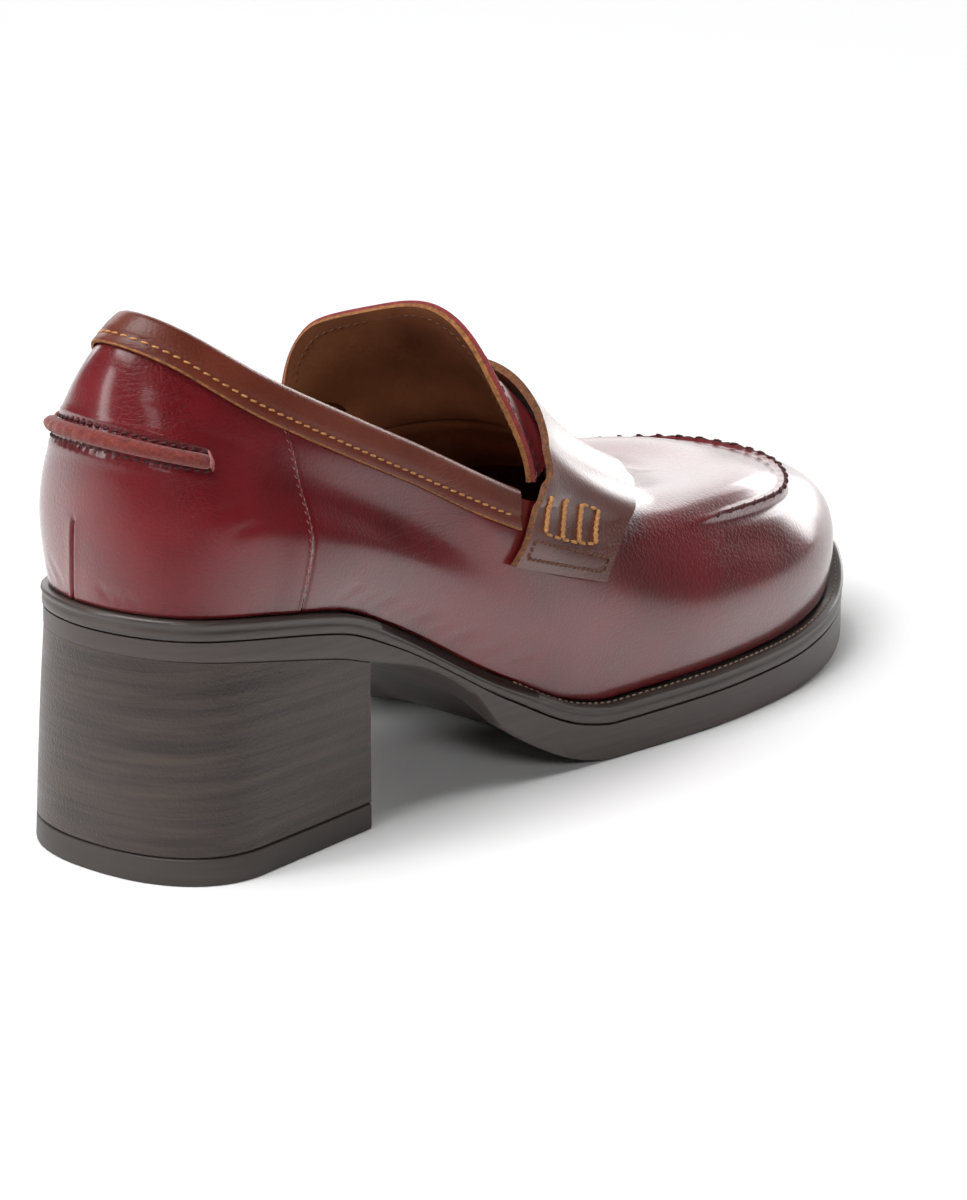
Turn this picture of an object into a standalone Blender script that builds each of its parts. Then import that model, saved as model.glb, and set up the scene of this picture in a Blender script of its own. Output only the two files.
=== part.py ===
"""Right shoe of a pair of penny loafers on a block heel, for Blender 4.5.

Lengths in this script are millimetres until a mesh is made, where MM turns them into metres.
While it is worked out, x runs from the back of the heel seat to the toe, y to the inner side and
z up from the floor. An empty then sets the middle of the shoe's box on the origin.
Every curve round the shoe runs through nine stations from the back of the heel to the toe, on
each side: an angle of 0 is the back, a quarter turn the outer waist, a half turn the toe.
"""

import math

import bmesh
import bpy
import numpy as np
from mathutils import Matrix, Vector

MM = 0.001

# Driving dimensions
LENGTH = 240.5  # sole, back of the heel seat to the tip of the toe
BALL_WIDTH = 86.0  # sole across the ball
HEEL_HEIGHT = 60.0  # floor to the rim at the back
BACK_HEIGHT = 64.0  # rim to the top of the collar at the back
PLATFORM = 13.0  # floor to the rim under the ball
TOE_SPRING = 8.5  # lift of the sole's tip
WALL = 1.8  # leather and lining of the upper
SHEET = 2.2  # tongue
STRAP_THICKNESS = 1.8
MIDSOLE = 4.4  # band above the groove line
LIFT = 6.2  # top lift of the heel
INSOLE = 2.4
GAP = 0.3  # between pieces that meet
SWING = 0.14  # how far the throat, strap and tongue turn towards the inner side

COLLAR_TOP = HEEL_HEIGHT + BACK_HEIGHT

# Sole plan: half widths as shares of BALL_WIDTH, then the rim beyond the upper, how far the
# upper swells out again above the rim, and how high above the rim that swell is.
SOLE_STATIONS = (
    # outer, inner, rim, swell, swell_height
    (0.000, 0.000, 1.5, 1.6, 20.0),  # back of the heel
    (0.244, 0.244, 1.5, 1.5, 20.0),
    (0.349, 0.343, 1.6, 1.4, 18.0),  # side of the heel
    (0.379, 0.326, 2.4, 3.4, 16.0),  # waist
    (0.444, 0.360, 2.8, 3.0, 15.0),
    (0.502, 0.494, 3.2, 1.4, 12.0),  # ball
    (0.438, 0.456, 3.4, 1.2, 11.0),
    (0.234, 0.284, 3.4, 1.0, 10.0),
    (-0.035, 0.035, 3.4, 1.0, 10.0),  # tip of the toe
)

# Three rings of the upper: x as a share of LENGTH, half widths as shares of BALL_WIDTH and
# heights as shares of COLLAR_TOP. The shoulder is the plug's seam over the forepart.
SHOULDER = (
    # x, outer, inner, outer_z, inner_z
    (0.012, 0.000, 0.000, 0.815, 0.815),
    (0.046, 0.186, 0.186, 0.794, 0.794),
    (0.150, 0.297, 0.293, 0.677, 0.677),
    (0.310, 0.366, 0.343, 0.516, 0.540),
    (0.437, 0.430, 0.378, 0.387, 0.420),
    (0.669, 0.390, 0.390, 0.366, 0.370),
    (0.813, 0.326, 0.349, 0.341, 0.341),
    (0.894, 0.163, 0.209, 0.331, 0.331),
    (0.919, -0.029, 0.029, 0.327, 0.327),
)
CROWN = (
    (0.032, 0.000, 0.000, 0.908, 0.908),
    (0.062, 0.140, 0.130, 0.888, 0.888),
    (0.151, 0.266, 0.262, 0.770, 0.770),
    (0.301, 0.346, 0.326, 0.621, 0.653),
    (0.418, 0.411, 0.374, 0.464, 0.508),
    (0.586, 0.334, 0.328, 0.424, 0.430),
    (0.645, 0.244, 0.250, 0.420, 0.420),
    (0.674, 0.122, 0.140, 0.414, 0.414),
    (0.684, -0.017, 0.017, 0.412, 0.412),
)
TOPLINE = (
    (0.066, 0.006, -0.006, 0.970, 0.970),
    (0.088, 0.122, 0.104, 0.939, 0.939),
    (0.156, 0.236, 0.230, 0.838, 0.844),
    (0.293, 0.326, 0.308, 0.681, 0.733),
    (0.430, 0.384, 0.360, 0.516, 0.574),
    (0.503, 0.302, 0.296, 0.526, 0.540),
    (0.536, 0.186, 0.190, 0.556, 0.556),
    (0.550, 0.086, 0.096, 0.567, 0.567),
    (0.554, 0.000, 0.000, 0.570, 0.570),
)

# Height of the rim along the shoe, and how much sole there is below the groove line at its edge
# and under its middle. The forefoot tread is flat from FLAT_FROM to FLAT_TO.
FLAT_FROM, FLAT_TO = 130.0, 186.0
RIM_HEIGHT = (
    # x, height
    (0.0, HEEL_HEIGHT),
    (30.0, HEEL_HEIGHT - 3.6),
    (48.0, HEEL_HEIGHT - 7.0),
    (64.0, HEEL_HEIGHT - 14.0),
    (98.0, PLATFORM + 12.6),
    (120.0, PLATFORM + 1.8),
    (FLAT_FROM, PLATFORM),
    (FLAT_TO, PLATFORM),
    (212.0, PLATFORM + 0.2 * TOE_SPRING),
    (LENGTH, PLATFORM + TOE_SPRING),
)
TREAD = PLATFORM - MIDSOLE - GAP
OUTSOLE_DEPTH = (
    # x, edge, middle
    (0.0, 4.0, 4.0),
    (52.0, 5.6, 5.6),
    (64.0, 3.6, 4.6),
    (78.0, 1.3, 2.8),
    (87.0, 2.0, 2.4),
    (96.0, 7.2, 2.4),
    (106.0, 8.2, 3.4),
    (120.0, TREAD, 6.4),
    (FLAT_FROM, TREAD, TREAD),
    (LENGTH, TREAD, TREAD),
)

# Heel block: plan of its foot, with the breast leaning forward
HEEL_BACK, BREAST_TOP, BREAST_FOOT = 1.6, 56.0, 60.0
HEEL_HALF_WIDTH = 29.4
HEEL_ROUND = 22.0  # length of the rounded back
HEEL_SQUARENESS = 2.3
HEEL_TAPER = 0.05  # narrowing from the back's end to the breast

# Tongue: rim of the free end, before the swing
TONGUE_HALF_WIDTH, TONGUE_FOOT, TONGUE_RISE = 27.5, 67.0, 36.0
TONGUE_BACK, TONGUE_BOW = 105.0, 3.5

# Saddle strap: arches over the instep along its rear edge, its middle and its front edge
STRAP_OUTER, STRAP_INNER = 37.8, 37.0
STRAP_EDGES = (
    # crest_x, sweep, outer_foot_z, inner_foot_z, crest_z, squareness
    (125.5, 34.3, 52.8, 55.0, 84.9, 2.0),  # rear
    (138.3, 33.4, 47.4, 50.5, 69.5, 2.35),  # middle
    (152.5, 33.1, 42.1, 45.5, 59.0, 2.7),  # front
)
SLOT_LENGTH, SLOT_WIDTH = 24.0, 5.5

# Collar binding and the strip across the back
BINDING_END = math.radians(86)
BINDING_DEPTH, BINDING_INSIDE, BINDING_SKIN = 7.4, 6.0, 0.8
STRIP_REACH, STRIP_WIDTH, STRIP_PROUD = math.radians(30), 3.4, 2.2
STRIP_BACK_Z, STRIP_END_Z = 97.8, 92.4

# Moulded plug seam
SEAM_PROUD, SEAM_HALF = 1.8, 0.030

UPPER_AROUND, SOLE_AROUND = 76, 96  # points round the shoe
STEPS_UP = (0, 0.08, 0.16, 0.25, 0.34, 0.42, 0.47, 0.5, 0.53, 0.6, 0.7, 0.8, 0.9, 1)


def hermite(before, after, slope_before, slope_after, t):
    """Cubic from one value to the next, with a slope at each end, at share t of the way."""
    return (
        before * (2 * t**3 - 3 * t**2 + 1)
        + slope_before * (t**3 - 2 * t**2 + t)
        + after * (3 * t**2 - 2 * t**3)
        + slope_after * (t**3 - t**2)
    )


def around(outer, inner, angle):
    """Smooth closed curve through a column's outer values, back to toe, and inner ones back."""
    values = np.concatenate([outer, inner[-2:0:-1]])
    place = np.mod(angle / (2 * math.pi), 1) * len(values)
    i = np.floor(place).astype(int) % len(values)
    slope = (np.roll(values, -1) - np.roll(values, 1)) / 2
    j = (i + 1) % len(values)
    return hermite(values[i], values[j], slope[i], slope[j], place - np.floor(place))


def along(table, column, x):
    """Smooth curve through a column of a table whose first column is x, without overshoot."""
    knots = np.array([row[0] for row in table])
    values = np.array([row[column] for row in table])
    step = np.diff(knots)
    rate = np.diff(values) / step
    turn = rate[:-1] * rate[1:] > 0
    mean = np.where(turn, 2 * rate[:-1] * rate[1:] / np.where(turn, rate[:-1] + rate[1:], 1), 0)
    slope = np.concatenate([rate[:1], mean, rate[-1:]])
    i = np.clip(np.searchsorted(knots, x, side="right") - 1, 0, len(step) - 1)
    t = np.clip((x - knots[i]) / step[i], 0, 1)
    return hermite(values[i], values[i + 1], slope[i] * step[i], slope[i + 1] * step[i], t)


def ease(value, start, end):
    """0 before start, 1 after end, smooth between."""
    t = np.clip((value - start) / (end - start), 0, 1)
    return t * t * (3 - 2 * t)


def column(table, index):
    return np.array([row[index] for row in table])


def sole_plan(angle, out=0.0):
    """Edge of the sole at an angle round the shoe, moved outwards by a distance. Two columns."""

    def edge(at):
        x = LENGTH * (1 - np.cos(at)) / 2
        outer, inner = (BALL_WIDTH * column(SOLE_STATIONS, i) for i in (0, 1))
        return np.stack([x, around(-outer, inner, at)], axis=-1)

    forward = edge(angle + 1e-3) - edge(angle - 1e-3)
    forward /= np.linalg.norm(forward, axis=-1, keepdims=True)
    outwards = np.stack([forward[..., 1], -forward[..., 0]], axis=-1)
    return edge(angle) + outwards * np.reshape(out, (-1, 1))


def rim_height(x):
    return along(RIM_HEIGHT, 1, x)


def station_ring(table, angle):
    """One ring of the upper from its table, turned inwards over the forepart."""
    x = LENGTH * around(column(table, 0), column(table, 0), angle)
    y = BALL_WIDTH * around(-column(table, 1), column(table, 2), angle)
    z = COLLAR_TOP * around(column(table, 3), column(table, 4), angle)
    return np.stack([x - SWING * y * ease(x, 60, 110) * ease(x, 235, 170), y, z], axis=-1)


def upper_rings(angle):
    """The five rings that the upper runs through, from the rim up to the topline."""
    rim, swell, height = (around(*[column(SOLE_STATIONS, i)] * 2, angle) for i in (2, 3, 4))
    foot = sole_plan(angle, -rim)
    side = sole_plan(angle, swell - rim)
    rise = rim_height(foot[:, 0]) + 1.6 * GAP
    return np.stack(
        [
            np.column_stack([foot, rise]),
            np.column_stack([side, rise + height]),
            station_ring(SHOULDER, angle),
            station_ring(CROWN, angle),
            station_ring(TOPLINE, angle),
        ]
    )


def upper_skin(angle, up):
    """Outside of the upper: up runs from 0 at the rim to 1 at the topline. (up, angle, xyz)."""
    rings = upper_rings(angle)
    span = np.linalg.norm(np.diff(rings, axis=0), axis=-1)[..., None]
    rate = np.diff(rings, axis=0) / span
    slope = (rate[:-1] * span[1:] + rate[1:] * span[:-1]) / (span[:-1] + span[1:])
    slope = np.concatenate(
        [1.5 * rate[:1] - 0.5 * slope[:1], slope, 1.5 * rate[-1:] - 0.5 * slope[-1:]]
    )
    rows = []
    for share in np.atleast_1d(up):
        i = min(int(share * 4), 3)
        t = share * 4 - i
        rows.append(
            hermite(rings[i], rings[i + 1], slope[i] * span[i], slope[i + 1] * span[i], t)
        )
    return np.stack(rows)


def upper_normal(angle, up):
    """Outward direction of the upper's skin."""
    along_angle = upper_skin(angle + 2e-3, up) - upper_skin(angle - 2e-3, up)
    low, high = np.clip(up - 0.01, 0, 1), np.clip(up + 0.01, 0, 1)
    outwards = np.cross(along_angle, upper_skin(angle, high) - upper_skin(angle, low))
    return outwards / np.linalg.norm(outwards, axis=-1, keepdims=True)


def seam_ridge(angle, up):
    """How far the plug's seam stands out: over the forepart only."""
    forepart = ease(np.abs(np.mod(angle, 2 * math.pi) - math.pi), 1.26, 0.98)
    across = np.clip(1 - np.abs(np.atleast_1d(up) - 0.5) / SEAM_HALF, 0, 1)
    return SEAM_PROUD * across[:, None] * forepart[None, :]


def each_on_upper(angle, up):
    """Points of the skin, one for each pair of an angle and a share up, and the way out there."""
    pairs = [(angle[i : i + 1], up[i : i + 1]) for i in range(len(angle))]
    return (
        np.array([upper_skin(a, u)[0, 0] for a, u in pairs]),
        np.array([upper_normal(a, u)[0, 0] for a, u in pairs]),
    )


def on_upper(points):
    """Places on the sides of the upper with the x and z of some points, and the way out there."""
    side = np.where(points[:, 1] < 0, 1.0, -1.0)
    angle, up = side * np.radians(40 + 0.42 * points[:, 0]), np.full(len(points), 0.5)
    for _ in range(12):
        here = each_on_upper(angle, up)[0]
        by_angle = (each_on_upper(angle + 1e-3, up)[0] - here)[:, ::2] / 1e-3
        by_up = (each_on_upper(angle, up + 1e-3)[0] - here)[:, ::2] / 1e-3
        miss = points[:, ::2] - here[:, ::2]
        det = by_angle[:, 0] * by_up[:, 1] - by_angle[:, 1] * by_up[:, 0]
        angle = angle + np.clip((miss[:, 0] * by_up[:, 1] - miss[:, 1] * by_up[:, 0]) / det, -0.2, 0.2)
        up = up + np.clip((by_angle[:, 0] * miss[:, 1] - by_angle[:, 1] * miss[:, 0]) / det, -0.1, 0.1)
        up = np.clip(up, 0.02, 0.97)
    return each_on_upper(angle, up)


def height_on_upper(angle, z):
    """Share up the upper at which its skin reaches height z, for each angle."""
    steps = np.linspace(0, 1, 201)
    heights = upper_skin(angle, steps)[..., 2]
    return np.array([np.interp(h, heights[:, i], steps) for i, h in enumerate(z)])


def material(name, colour, roughness):
    made = bpy.data.materials.new(name)
    made.use_nodes = True
    shader = made.node_tree.nodes["Principled BSDF"]
    shader.inputs["Base Color"].default_value = (*colour, 1)
    shader.inputs["Roughness"].default_value = roughness
    return made


def piece(name, points, faces, look):
    """A named object from points in millimetres, with its faces made to point outwards."""
    mesh = bpy.data.meshes.new(name)
    mesh.from_pydata((np.asarray(points) * MM).tolist(), [], faces)
    work = bmesh.new()
    work.from_mesh(mesh)
    bmesh.ops.recalc_face_normals(work, faces=work.faces)
    work.to_mesh(mesh)
    work.free()
    mesh.shade_smooth()
    mesh.set_sharp_from_angle(angle=math.radians(40))
    mesh.materials.append(look)
    made = bpy.data.objects.new(name, mesh)
    shoe.objects.link(made)
    made.parent = middle
    return made


def grid_faces(rows, columns, closed):
    """Quads of a grid of points stored row by row; closed joins the last column to the first."""
    last = columns if closed else columns - 1
    return [
        (r * columns + c, r * columns + (c + 1) % columns,
         (r + 1) * columns + (c + 1) % columns, (r + 1) * columns + c)
        for r in range(rows - 1)
        for c in range(last)
    ]


def shell(name, points, closed, thickness, look, offset=-1):
    """An open skin from a grid of points, given thickness by Solidify."""
    rows, columns = points.shape[:2]
    made = piece(name, points.reshape(-1, 3), grid_faces(rows, columns, closed), look)
    wall = made.modifiers.new("Wall", "SOLIDIFY")
    wall.thickness, wall.offset = thickness * MM, offset
    wall.use_even_offset = True
    return made


def slab(name, rings, look, low_cap=None):
    """Closed rings from the bottom up, with the two sides of the first and last joined across.

    A ring starts at the front, runs down the outer side to the back and up the inner side. With
    an odd number of points it has a straight front, such as a heel's breast.
    low_cap gives (share across, height) rows for points inside the lowest ring.
    """
    count = len(rings[0])
    points = list(np.concatenate(rings))
    faces = grid_faces(len(rings), count, True)
    shift = count % 2
    pairs = [(i, (count - shift - i) % count) for i in range(count // 2 + 1)]

    def cap(first, shares):
        lines = []
        for a, b in pairs:
            line = [first + a]
            for share, height in shares if a != b else ():
                between = points[first + a] * (1 - share) + points[first + b] * share
                line.append(len(points))
                points.append(np.array([between[0], between[1], height(between[0])]))
            lines.append([*line, first + b] if a != b else line)
        for one, two in zip(lines, lines[1:]):
            if len(one) == 1:
                one = one * len(two)
            elif len(two) == 1:
                two = two * len(one)
            for k in range(len(one) - 1):
                corners = dict.fromkeys((one[k], one[k + 1], two[k + 1], two[k]))
                faces.append(tuple(corners))

    cap(0, low_cap or ())
    cap((len(rings) - 1) * count, ())
    return piece(name, points, faces, look)


def sole_ring(out, height, angle):
    """A ring round the sole, starting at the toe, at a height given along the shoe."""
    plan = sole_plan(angle, out)
    return np.column_stack([plan, height(plan[:, 0])])


def heel_ring(z, share, count):
    """A ring of the heel block: share 0 is flush under the sole, share 1 the foot's own plan."""
    turn = math.acos(1 - 2 * BREAST_TOP / LENGTH)
    seat = sole_plan(np.linspace(turn, -turn, count), -0.5)
    side = np.linspace(1, -1, count)
    run = BREAST_FOOT - HEEL_BACK - HEEL_ROUND
    bend = np.clip(np.abs(side) / 0.6, 0, 1) * math.pi / 2
    x = HEEL_BACK + HEEL_ROUND * (1 - np.cos(bend) ** (2 / HEEL_SQUARENESS))
    y = HEEL_HALF_WIDTH * np.sin(bend) ** (2 / HEEL_SQUARENESS)
    straight = np.clip((np.abs(side) - 0.6) / 0.4, 0, 1)
    foot = np.column_stack([x + run * straight, -np.sign(side) * y * (1 - HEEL_TAPER * straight)])
    plan = seat * (1 - share) + foot * share
    return np.column_stack([plan, z(plan[:, 0]) if callable(z) else np.full(count, z)])


def make_sole():
    rubber = material("Sole_Rubber", (0.07, 0.06, 0.057), 0.5)
    stack = material("Heel_Stack", (0.075, 0.064, 0.058), 0.45)
    angle = np.linspace(math.pi, -math.pi, SOLE_AROUND, endpoint=False)

    def groove(x):
        return rim_height(x) - MIDSOLE

    def tread(x, which=1):
        return groove(x) - GAP - along(OUTSOLE_DEPTH, which, x)

    slab(
        "midsole",
        [
            sole_ring(-0.2, groove, angle),
            sole_ring(0, lambda x: groove(x) + 1.2, angle),
            sole_ring(-0.2, lambda x: rim_height(x) - 0.9, angle),
            sole_ring(-1.0, rim_height, angle),
        ],
        material("Midsole_Rubber", (0.075, 0.065, 0.06), 0.45),
    )
    middle_cap = [(share, lambda x: tread(x, 2)) for share in (0.24, 0.76)]
    slab(
        "outsole",
        [
            sole_ring(-0.4, tread, angle),
            sole_ring(-0.2, lambda x: groove(x) - GAP, angle),
        ],
        rubber,
        middle_cap,
    )
    count = 33
    slab(
        "heel_block",
        [
            heel_ring(LIFT + GAP, 0.9, count),
            heel_ring(LIFT + GAP + 18, 0.62, count),
            heel_ring(lambda x: tread(x) - 2 * GAP, 0, count),
        ],
        stack,
    )
    slab(
        "top_lift",
        [heel_ring(0, 0.98, count), heel_ring(0.8, 1, count), heel_ring(LIFT, 0.91, count)],
        material("Lift_Rubber", (0.05, 0.045, 0.043), 0.55),
    )
    inside = -(around(*[column(SOLE_STATIONS, 2)] * 2, angle) + WALL + 2 * GAP)
    slab(
        "insole",
        [
            sole_ring(inside, lambda x: rim_height(x) + GAP, angle),
            sole_ring(inside, lambda x: rim_height(x) + GAP + INSOLE, angle),
        ],
        material("Insole_Leather", (0.23, 0.12, 0.07), 0.6),
    )


def make_upper():
    leather = material("Upper_Leather", (0.16, 0.018, 0.025), 0.32)
    angle = np.linspace(0, 2 * math.pi, UPPER_AROUND, endpoint=False)
    angle = angle - 0.12 * np.sin(2 * angle)  # closer together at the heel and toe
    up = np.array(STEPS_UP)
    skin = upper_skin(angle, up) + upper_normal(angle, up) * seam_ridge(angle, up)[..., None]
    shell("upper", skin, True, WALL, leather)


def tongue_rim(side):
    """Free edge of the tongue, side from -1 on the outer side to 1 on the inner."""
    turn = side * math.pi / 2
    y = TONGUE_HALF_WIDTH * np.sin(turn)
    x = TONGUE_BACK + TONGUE_BOW * np.cos(turn) - SWING * y
    rise = np.clip(np.cos(turn), 0, 1) ** 1.15
    return np.stack([x, y, TONGUE_FOOT + TONGUE_RISE * rise], axis=-1)


def tongue_skin(side, up):
    """Outside of the tongue: from its root at the throat to its rim, flipping up on the way."""
    throat = upper_skin(math.pi + side * math.radians(71), np.array([1.0]))[0]
    before = upper_skin(math.pi + side * math.radians(71), np.array([0.97]))[0]
    ahead = throat - before
    ahead /= np.linalg.norm(ahead, axis=-1, keepdims=True)
    root = throat + ahead * 3.5 * GAP
    rim = tongue_rim(side * 0.94)
    reach = np.linalg.norm(rim - root, axis=-1, keepdims=True)
    bend = root + ahead * 0.45 * reach
    t = up[:, None, None]
    return root * (1 - t) ** 2 + 2 * bend * t * (1 - t) + rim * t**2


def make_tongue():
    look = material("Tongue_Leather", (0.15, 0.02, 0.026), 0.36)
    shell("tongue", tongue_skin(np.linspace(-1, 1, 25), np.linspace(0, 1, 8)), False, SHEET, look)


def strap_skin(side, across):
    """Inside of the strap: side from -1 at its outer end to 1, across from its rear edge."""
    turn = np.abs(side) * math.pi / 2
    reach = np.where(side < 0, -STRAP_OUTER, STRAP_INNER)
    back = ((side**2 + 0.06) ** 0.65 - 0.06**0.65) / (1.06**0.65 - 0.06**0.65)
    edges = []
    for crest_x, sweep, outer_z, inner_z, crest_z, squareness in STRAP_EDGES:
        y = reach * np.sin(turn) ** (2 / squareness)
        rise = np.clip(np.cos(turn), 0, 1) ** (2 / squareness)
        foot_z = np.where(side < 0, outer_z, inner_z)
        x = crest_x - sweep * back - SWING * y
        edges.append(np.stack([x, y, foot_z + (crest_z - foot_z) * rise], axis=-1))
    t = across[:, None, None]
    rear, middle_line, front = edges
    skin = rear * (1 - t) * (1 - 2 * t) + middle_line * 4 * t * (1 - t) + front * t * (2 * t - 1)
    wall, out = on_upper(skin.reshape(-1, 3))
    laid = (wall + out * (GAP + 0.2)).reshape(skin.shape)
    hug = ease(np.abs(side), 0.55, 0.85)[None, :, None]
    return skin * (1 - hug) + laid * hug


def make_strap():
    look = material("Strap_Leather", (0.085, 0.028, 0.025), 0.35)
    skin = strap_skin(np.linspace(-1, 1, 33), np.linspace(0, 1, 7))
    strap = shell("saddle_strap", skin, False, STRAP_THICKNESS, look, offset=1)
    crest = skin[3, 16]
    slope = math.atan2(skin[0, 16, 2] - skin[-1, 16, 2], skin[-1, 16, 0] - skin[0, 16, 0])
    mesh = bpy.data.meshes.new("slot_cutter")
    work = bmesh.new()
    bmesh.ops.create_cone(work, segments=20, radius1=0.5, radius2=0.5, depth=1, cap_ends=True)
    work.to_mesh(mesh)
    work.free()
    cutter = bpy.data.objects.new("slot_cutter", mesh)
    shoe.objects.link(cutter)
    cutter.parent = middle
    cutter.matrix_basis = (
        Matrix.Translation(Vector(crest.tolist()) * MM)
        @ Matrix.Rotation(slope, 4, "Y")
        @ Matrix.Rotation(-math.atan(SWING), 4, "Z")
        @ Matrix.Diagonal((SLOT_WIDTH * MM, SLOT_LENGTH * MM, 12 * MM, 1))
    )
    cutter.hide_render, cutter.display_type = True, "WIRE"
    slot = strap.modifiers.new("Slot", "BOOLEAN")
    slot.operation, slot.object, slot.solver = "DIFFERENCE", cutter, "EXACT"


def swept(name, sections, look):
    """A bar from closed sections of equal length along a path, with its two ends filled."""
    count, sides = sections.shape[:2]
    faces = grid_faces(count, sides, True)
    faces += [tuple(range(sides)), tuple(range((count - 1) * sides, count * sides))]
    return piece(name, sections.reshape(-1, 3), faces, look)


def make_binding():
    """A U over the topline, from strap to strap round the back."""
    angle = np.linspace(-BINDING_END, BINDING_END, 49)
    one = np.array([1.0])
    top = upper_skin(angle, one)[0]
    by_angle = (upper_skin(angle + 1e-3, one) - upper_skin(angle - 1e-3, one))[0] / 2e-3
    by_up = (upper_skin(angle, one) - upper_skin(angle, one - 0.05))[0] / 0.05
    slide = (by_up * by_angle).sum(axis=-1) / (by_angle**2).sum(axis=-1)
    pace = np.linalg.norm(by_up - slide[:, None] * by_angle, axis=-1)

    def below(distance):
        drop = distance / pace
        for _ in range(4):
            place, out = each_on_upper(angle + slide * drop, 1 - drop)
            drop = drop * (distance + 1e-6) / (np.linalg.norm(place - top, axis=-1) + 1e-6)
        return place, out

    near, far = 1.5 * GAP, 1.5 * GAP + BINDING_SKIN
    (low, low_out), (mid, mid_out), (edge, edge_out) = (below(d) for d in (BINDING_DEPTH, 4, 0))
    inner, inner_out = below(BINDING_INSIDE)
    rise = edge - mid
    rise /= np.linalg.norm(rise, axis=-1, keepdims=True)
    behind = WALL + near
    profile = [
        low + low_out * near,
        low + low_out * (far - 0.4),
        mid + mid_out * far,
        edge + edge_out * far,
        edge + edge_out * (far - 0.9) + rise * 1.5,
        edge - edge_out * (WALL / 2) + rise * 2.0,
        edge - edge_out * (behind + 0.2) + rise * 1.5,
        edge - edge_out * (behind + BINDING_SKIN),
        inner - inner_out * (behind + BINDING_SKIN),
        inner - inner_out * behind,
        edge - edge_out * behind + rise * near,
        edge + edge_out * near + rise * near,
        mid + mid_out * near,
    ]
    swept("collar_binding", np.stack(profile, axis=1), material("Binding_Leather", (0.1, 0.04, 0.024), 0.5))


def make_heel_strip():
    angle = np.linspace(-STRIP_REACH, STRIP_REACH, 21)
    drop = (angle / STRIP_REACH) ** 2
    share = height_on_upper(angle, STRIP_BACK_Z + (STRIP_END_Z - STRIP_BACK_Z) * drop)
    place, out = each_on_upper(angle, share)
    rise = each_on_upper(angle, share + 0.02)[0] - each_on_upper(angle, share - 0.02)[0]
    rise /= np.linalg.norm(rise, axis=-1, keepdims=True)
    half = STRIP_WIDTH / 2
    outline = ((-1, GAP), (1, GAP), (1, STRIP_PROUD * 0.7), (0.5, STRIP_PROUD),
               (-0.5, STRIP_PROUD), (-1, STRIP_PROUD * 0.7))
    sections = np.stack([place + rise * half * u + out * (v + 0.1) for u, v in outline], axis=1)
    swept("heel_strip", sections, material("Strip_Suede", (0.25, 0.06, 0.045), 0.8))


for old in list(bpy.data.objects):
    bpy.data.objects.remove(old)
shoe = bpy.data.collections.new("block_heel_loafer")
bpy.context.scene.collection.children.link(shoe)
middle = bpy.data.objects.new("shoe_middle", None)
shoe.objects.link(middle)

make_sole()
make_upper()
make_tongue()
make_strap()
make_binding()
make_heel_strip()

bpy.context.view_layer.update()
corners = np.array(
    [o.matrix_world @ Vector(c) for o in shoe.objects if o.type == "MESH" and not o.hide_render
     for c in o.bound_box]
)
low, high = corners.min(axis=0), corners.max(axis=0)
middle.location = (-(low[0] + high[0]) / 2, -(low[1] + high[1]) / 2, -low[2])
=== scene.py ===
"""Looks of a block-heeled loafer: leather, lining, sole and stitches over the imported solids.

Millimetres in the functions below: x from the sole's back to the toe, y to the inner side, z up.
MIDDLE moves them into the row frame.
"""
import math

import bmesh
import bpy
import numpy as np
from mathutils import Matrix, Vector


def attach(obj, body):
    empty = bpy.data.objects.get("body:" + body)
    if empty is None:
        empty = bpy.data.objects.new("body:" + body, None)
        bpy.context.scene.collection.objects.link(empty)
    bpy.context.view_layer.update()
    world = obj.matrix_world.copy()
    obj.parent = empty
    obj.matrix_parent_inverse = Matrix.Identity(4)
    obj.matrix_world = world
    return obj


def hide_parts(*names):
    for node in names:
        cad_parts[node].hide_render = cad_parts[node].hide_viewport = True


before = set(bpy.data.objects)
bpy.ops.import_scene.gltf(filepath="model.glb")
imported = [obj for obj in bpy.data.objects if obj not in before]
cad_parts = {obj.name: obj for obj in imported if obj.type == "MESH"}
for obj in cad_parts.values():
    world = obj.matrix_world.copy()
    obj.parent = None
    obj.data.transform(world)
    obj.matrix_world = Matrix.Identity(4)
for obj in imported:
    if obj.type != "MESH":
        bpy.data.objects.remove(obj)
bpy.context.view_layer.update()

MM = 0.001
# Sizes of the shoe, the same as the solids'
LENGTH = 240.5
BALL_WIDTH = 86.0
HEEL_HEIGHT = 60.0
COLLAR_TOP = HEEL_HEIGHT + 64.0
PLATFORM = 13.0
TOE_SPRING = 8.5
WALL = 1.8
SHEET = 2.2
STRAP_THICKNESS = 1.8
MIDSOLE = 4.4
LIFT = 6.2
GAP = 0.3
# The forepart swings to the inner side; the two ranges of x fade that in and out
SWING, SWING_RISE, SWING_FALL = 0.14, (60, 110), (235, 170)
MIDDLE = np.array([-120.0259, 0.1216, 0.0])

# Sole plan at nine stations, back to toe: outer and inner half widths as shares of BALL_WIDTH,
# then rim, swell and swell height in mm
SOLE_STATIONS = np.array(
    [
        (0.000, 0.000, 1.5, 1.6, 20.0),
        (0.244, 0.244, 1.5, 1.5, 20.0),
        (0.349, 0.343, 1.6, 1.4, 18.0),
        (0.379, 0.326, 2.4, 3.4, 16.0),
        (0.444, 0.360, 2.8, 3.0, 15.0),
        (0.502, 0.494, 3.2, 1.4, 12.0),
        (0.438, 0.456, 3.4, 1.2, 11.0),
        (0.234, 0.284, 3.4, 1.0, 10.0),
        (-0.035, 0.035, 3.4, 1.0, 10.0),
    ]
)
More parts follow.
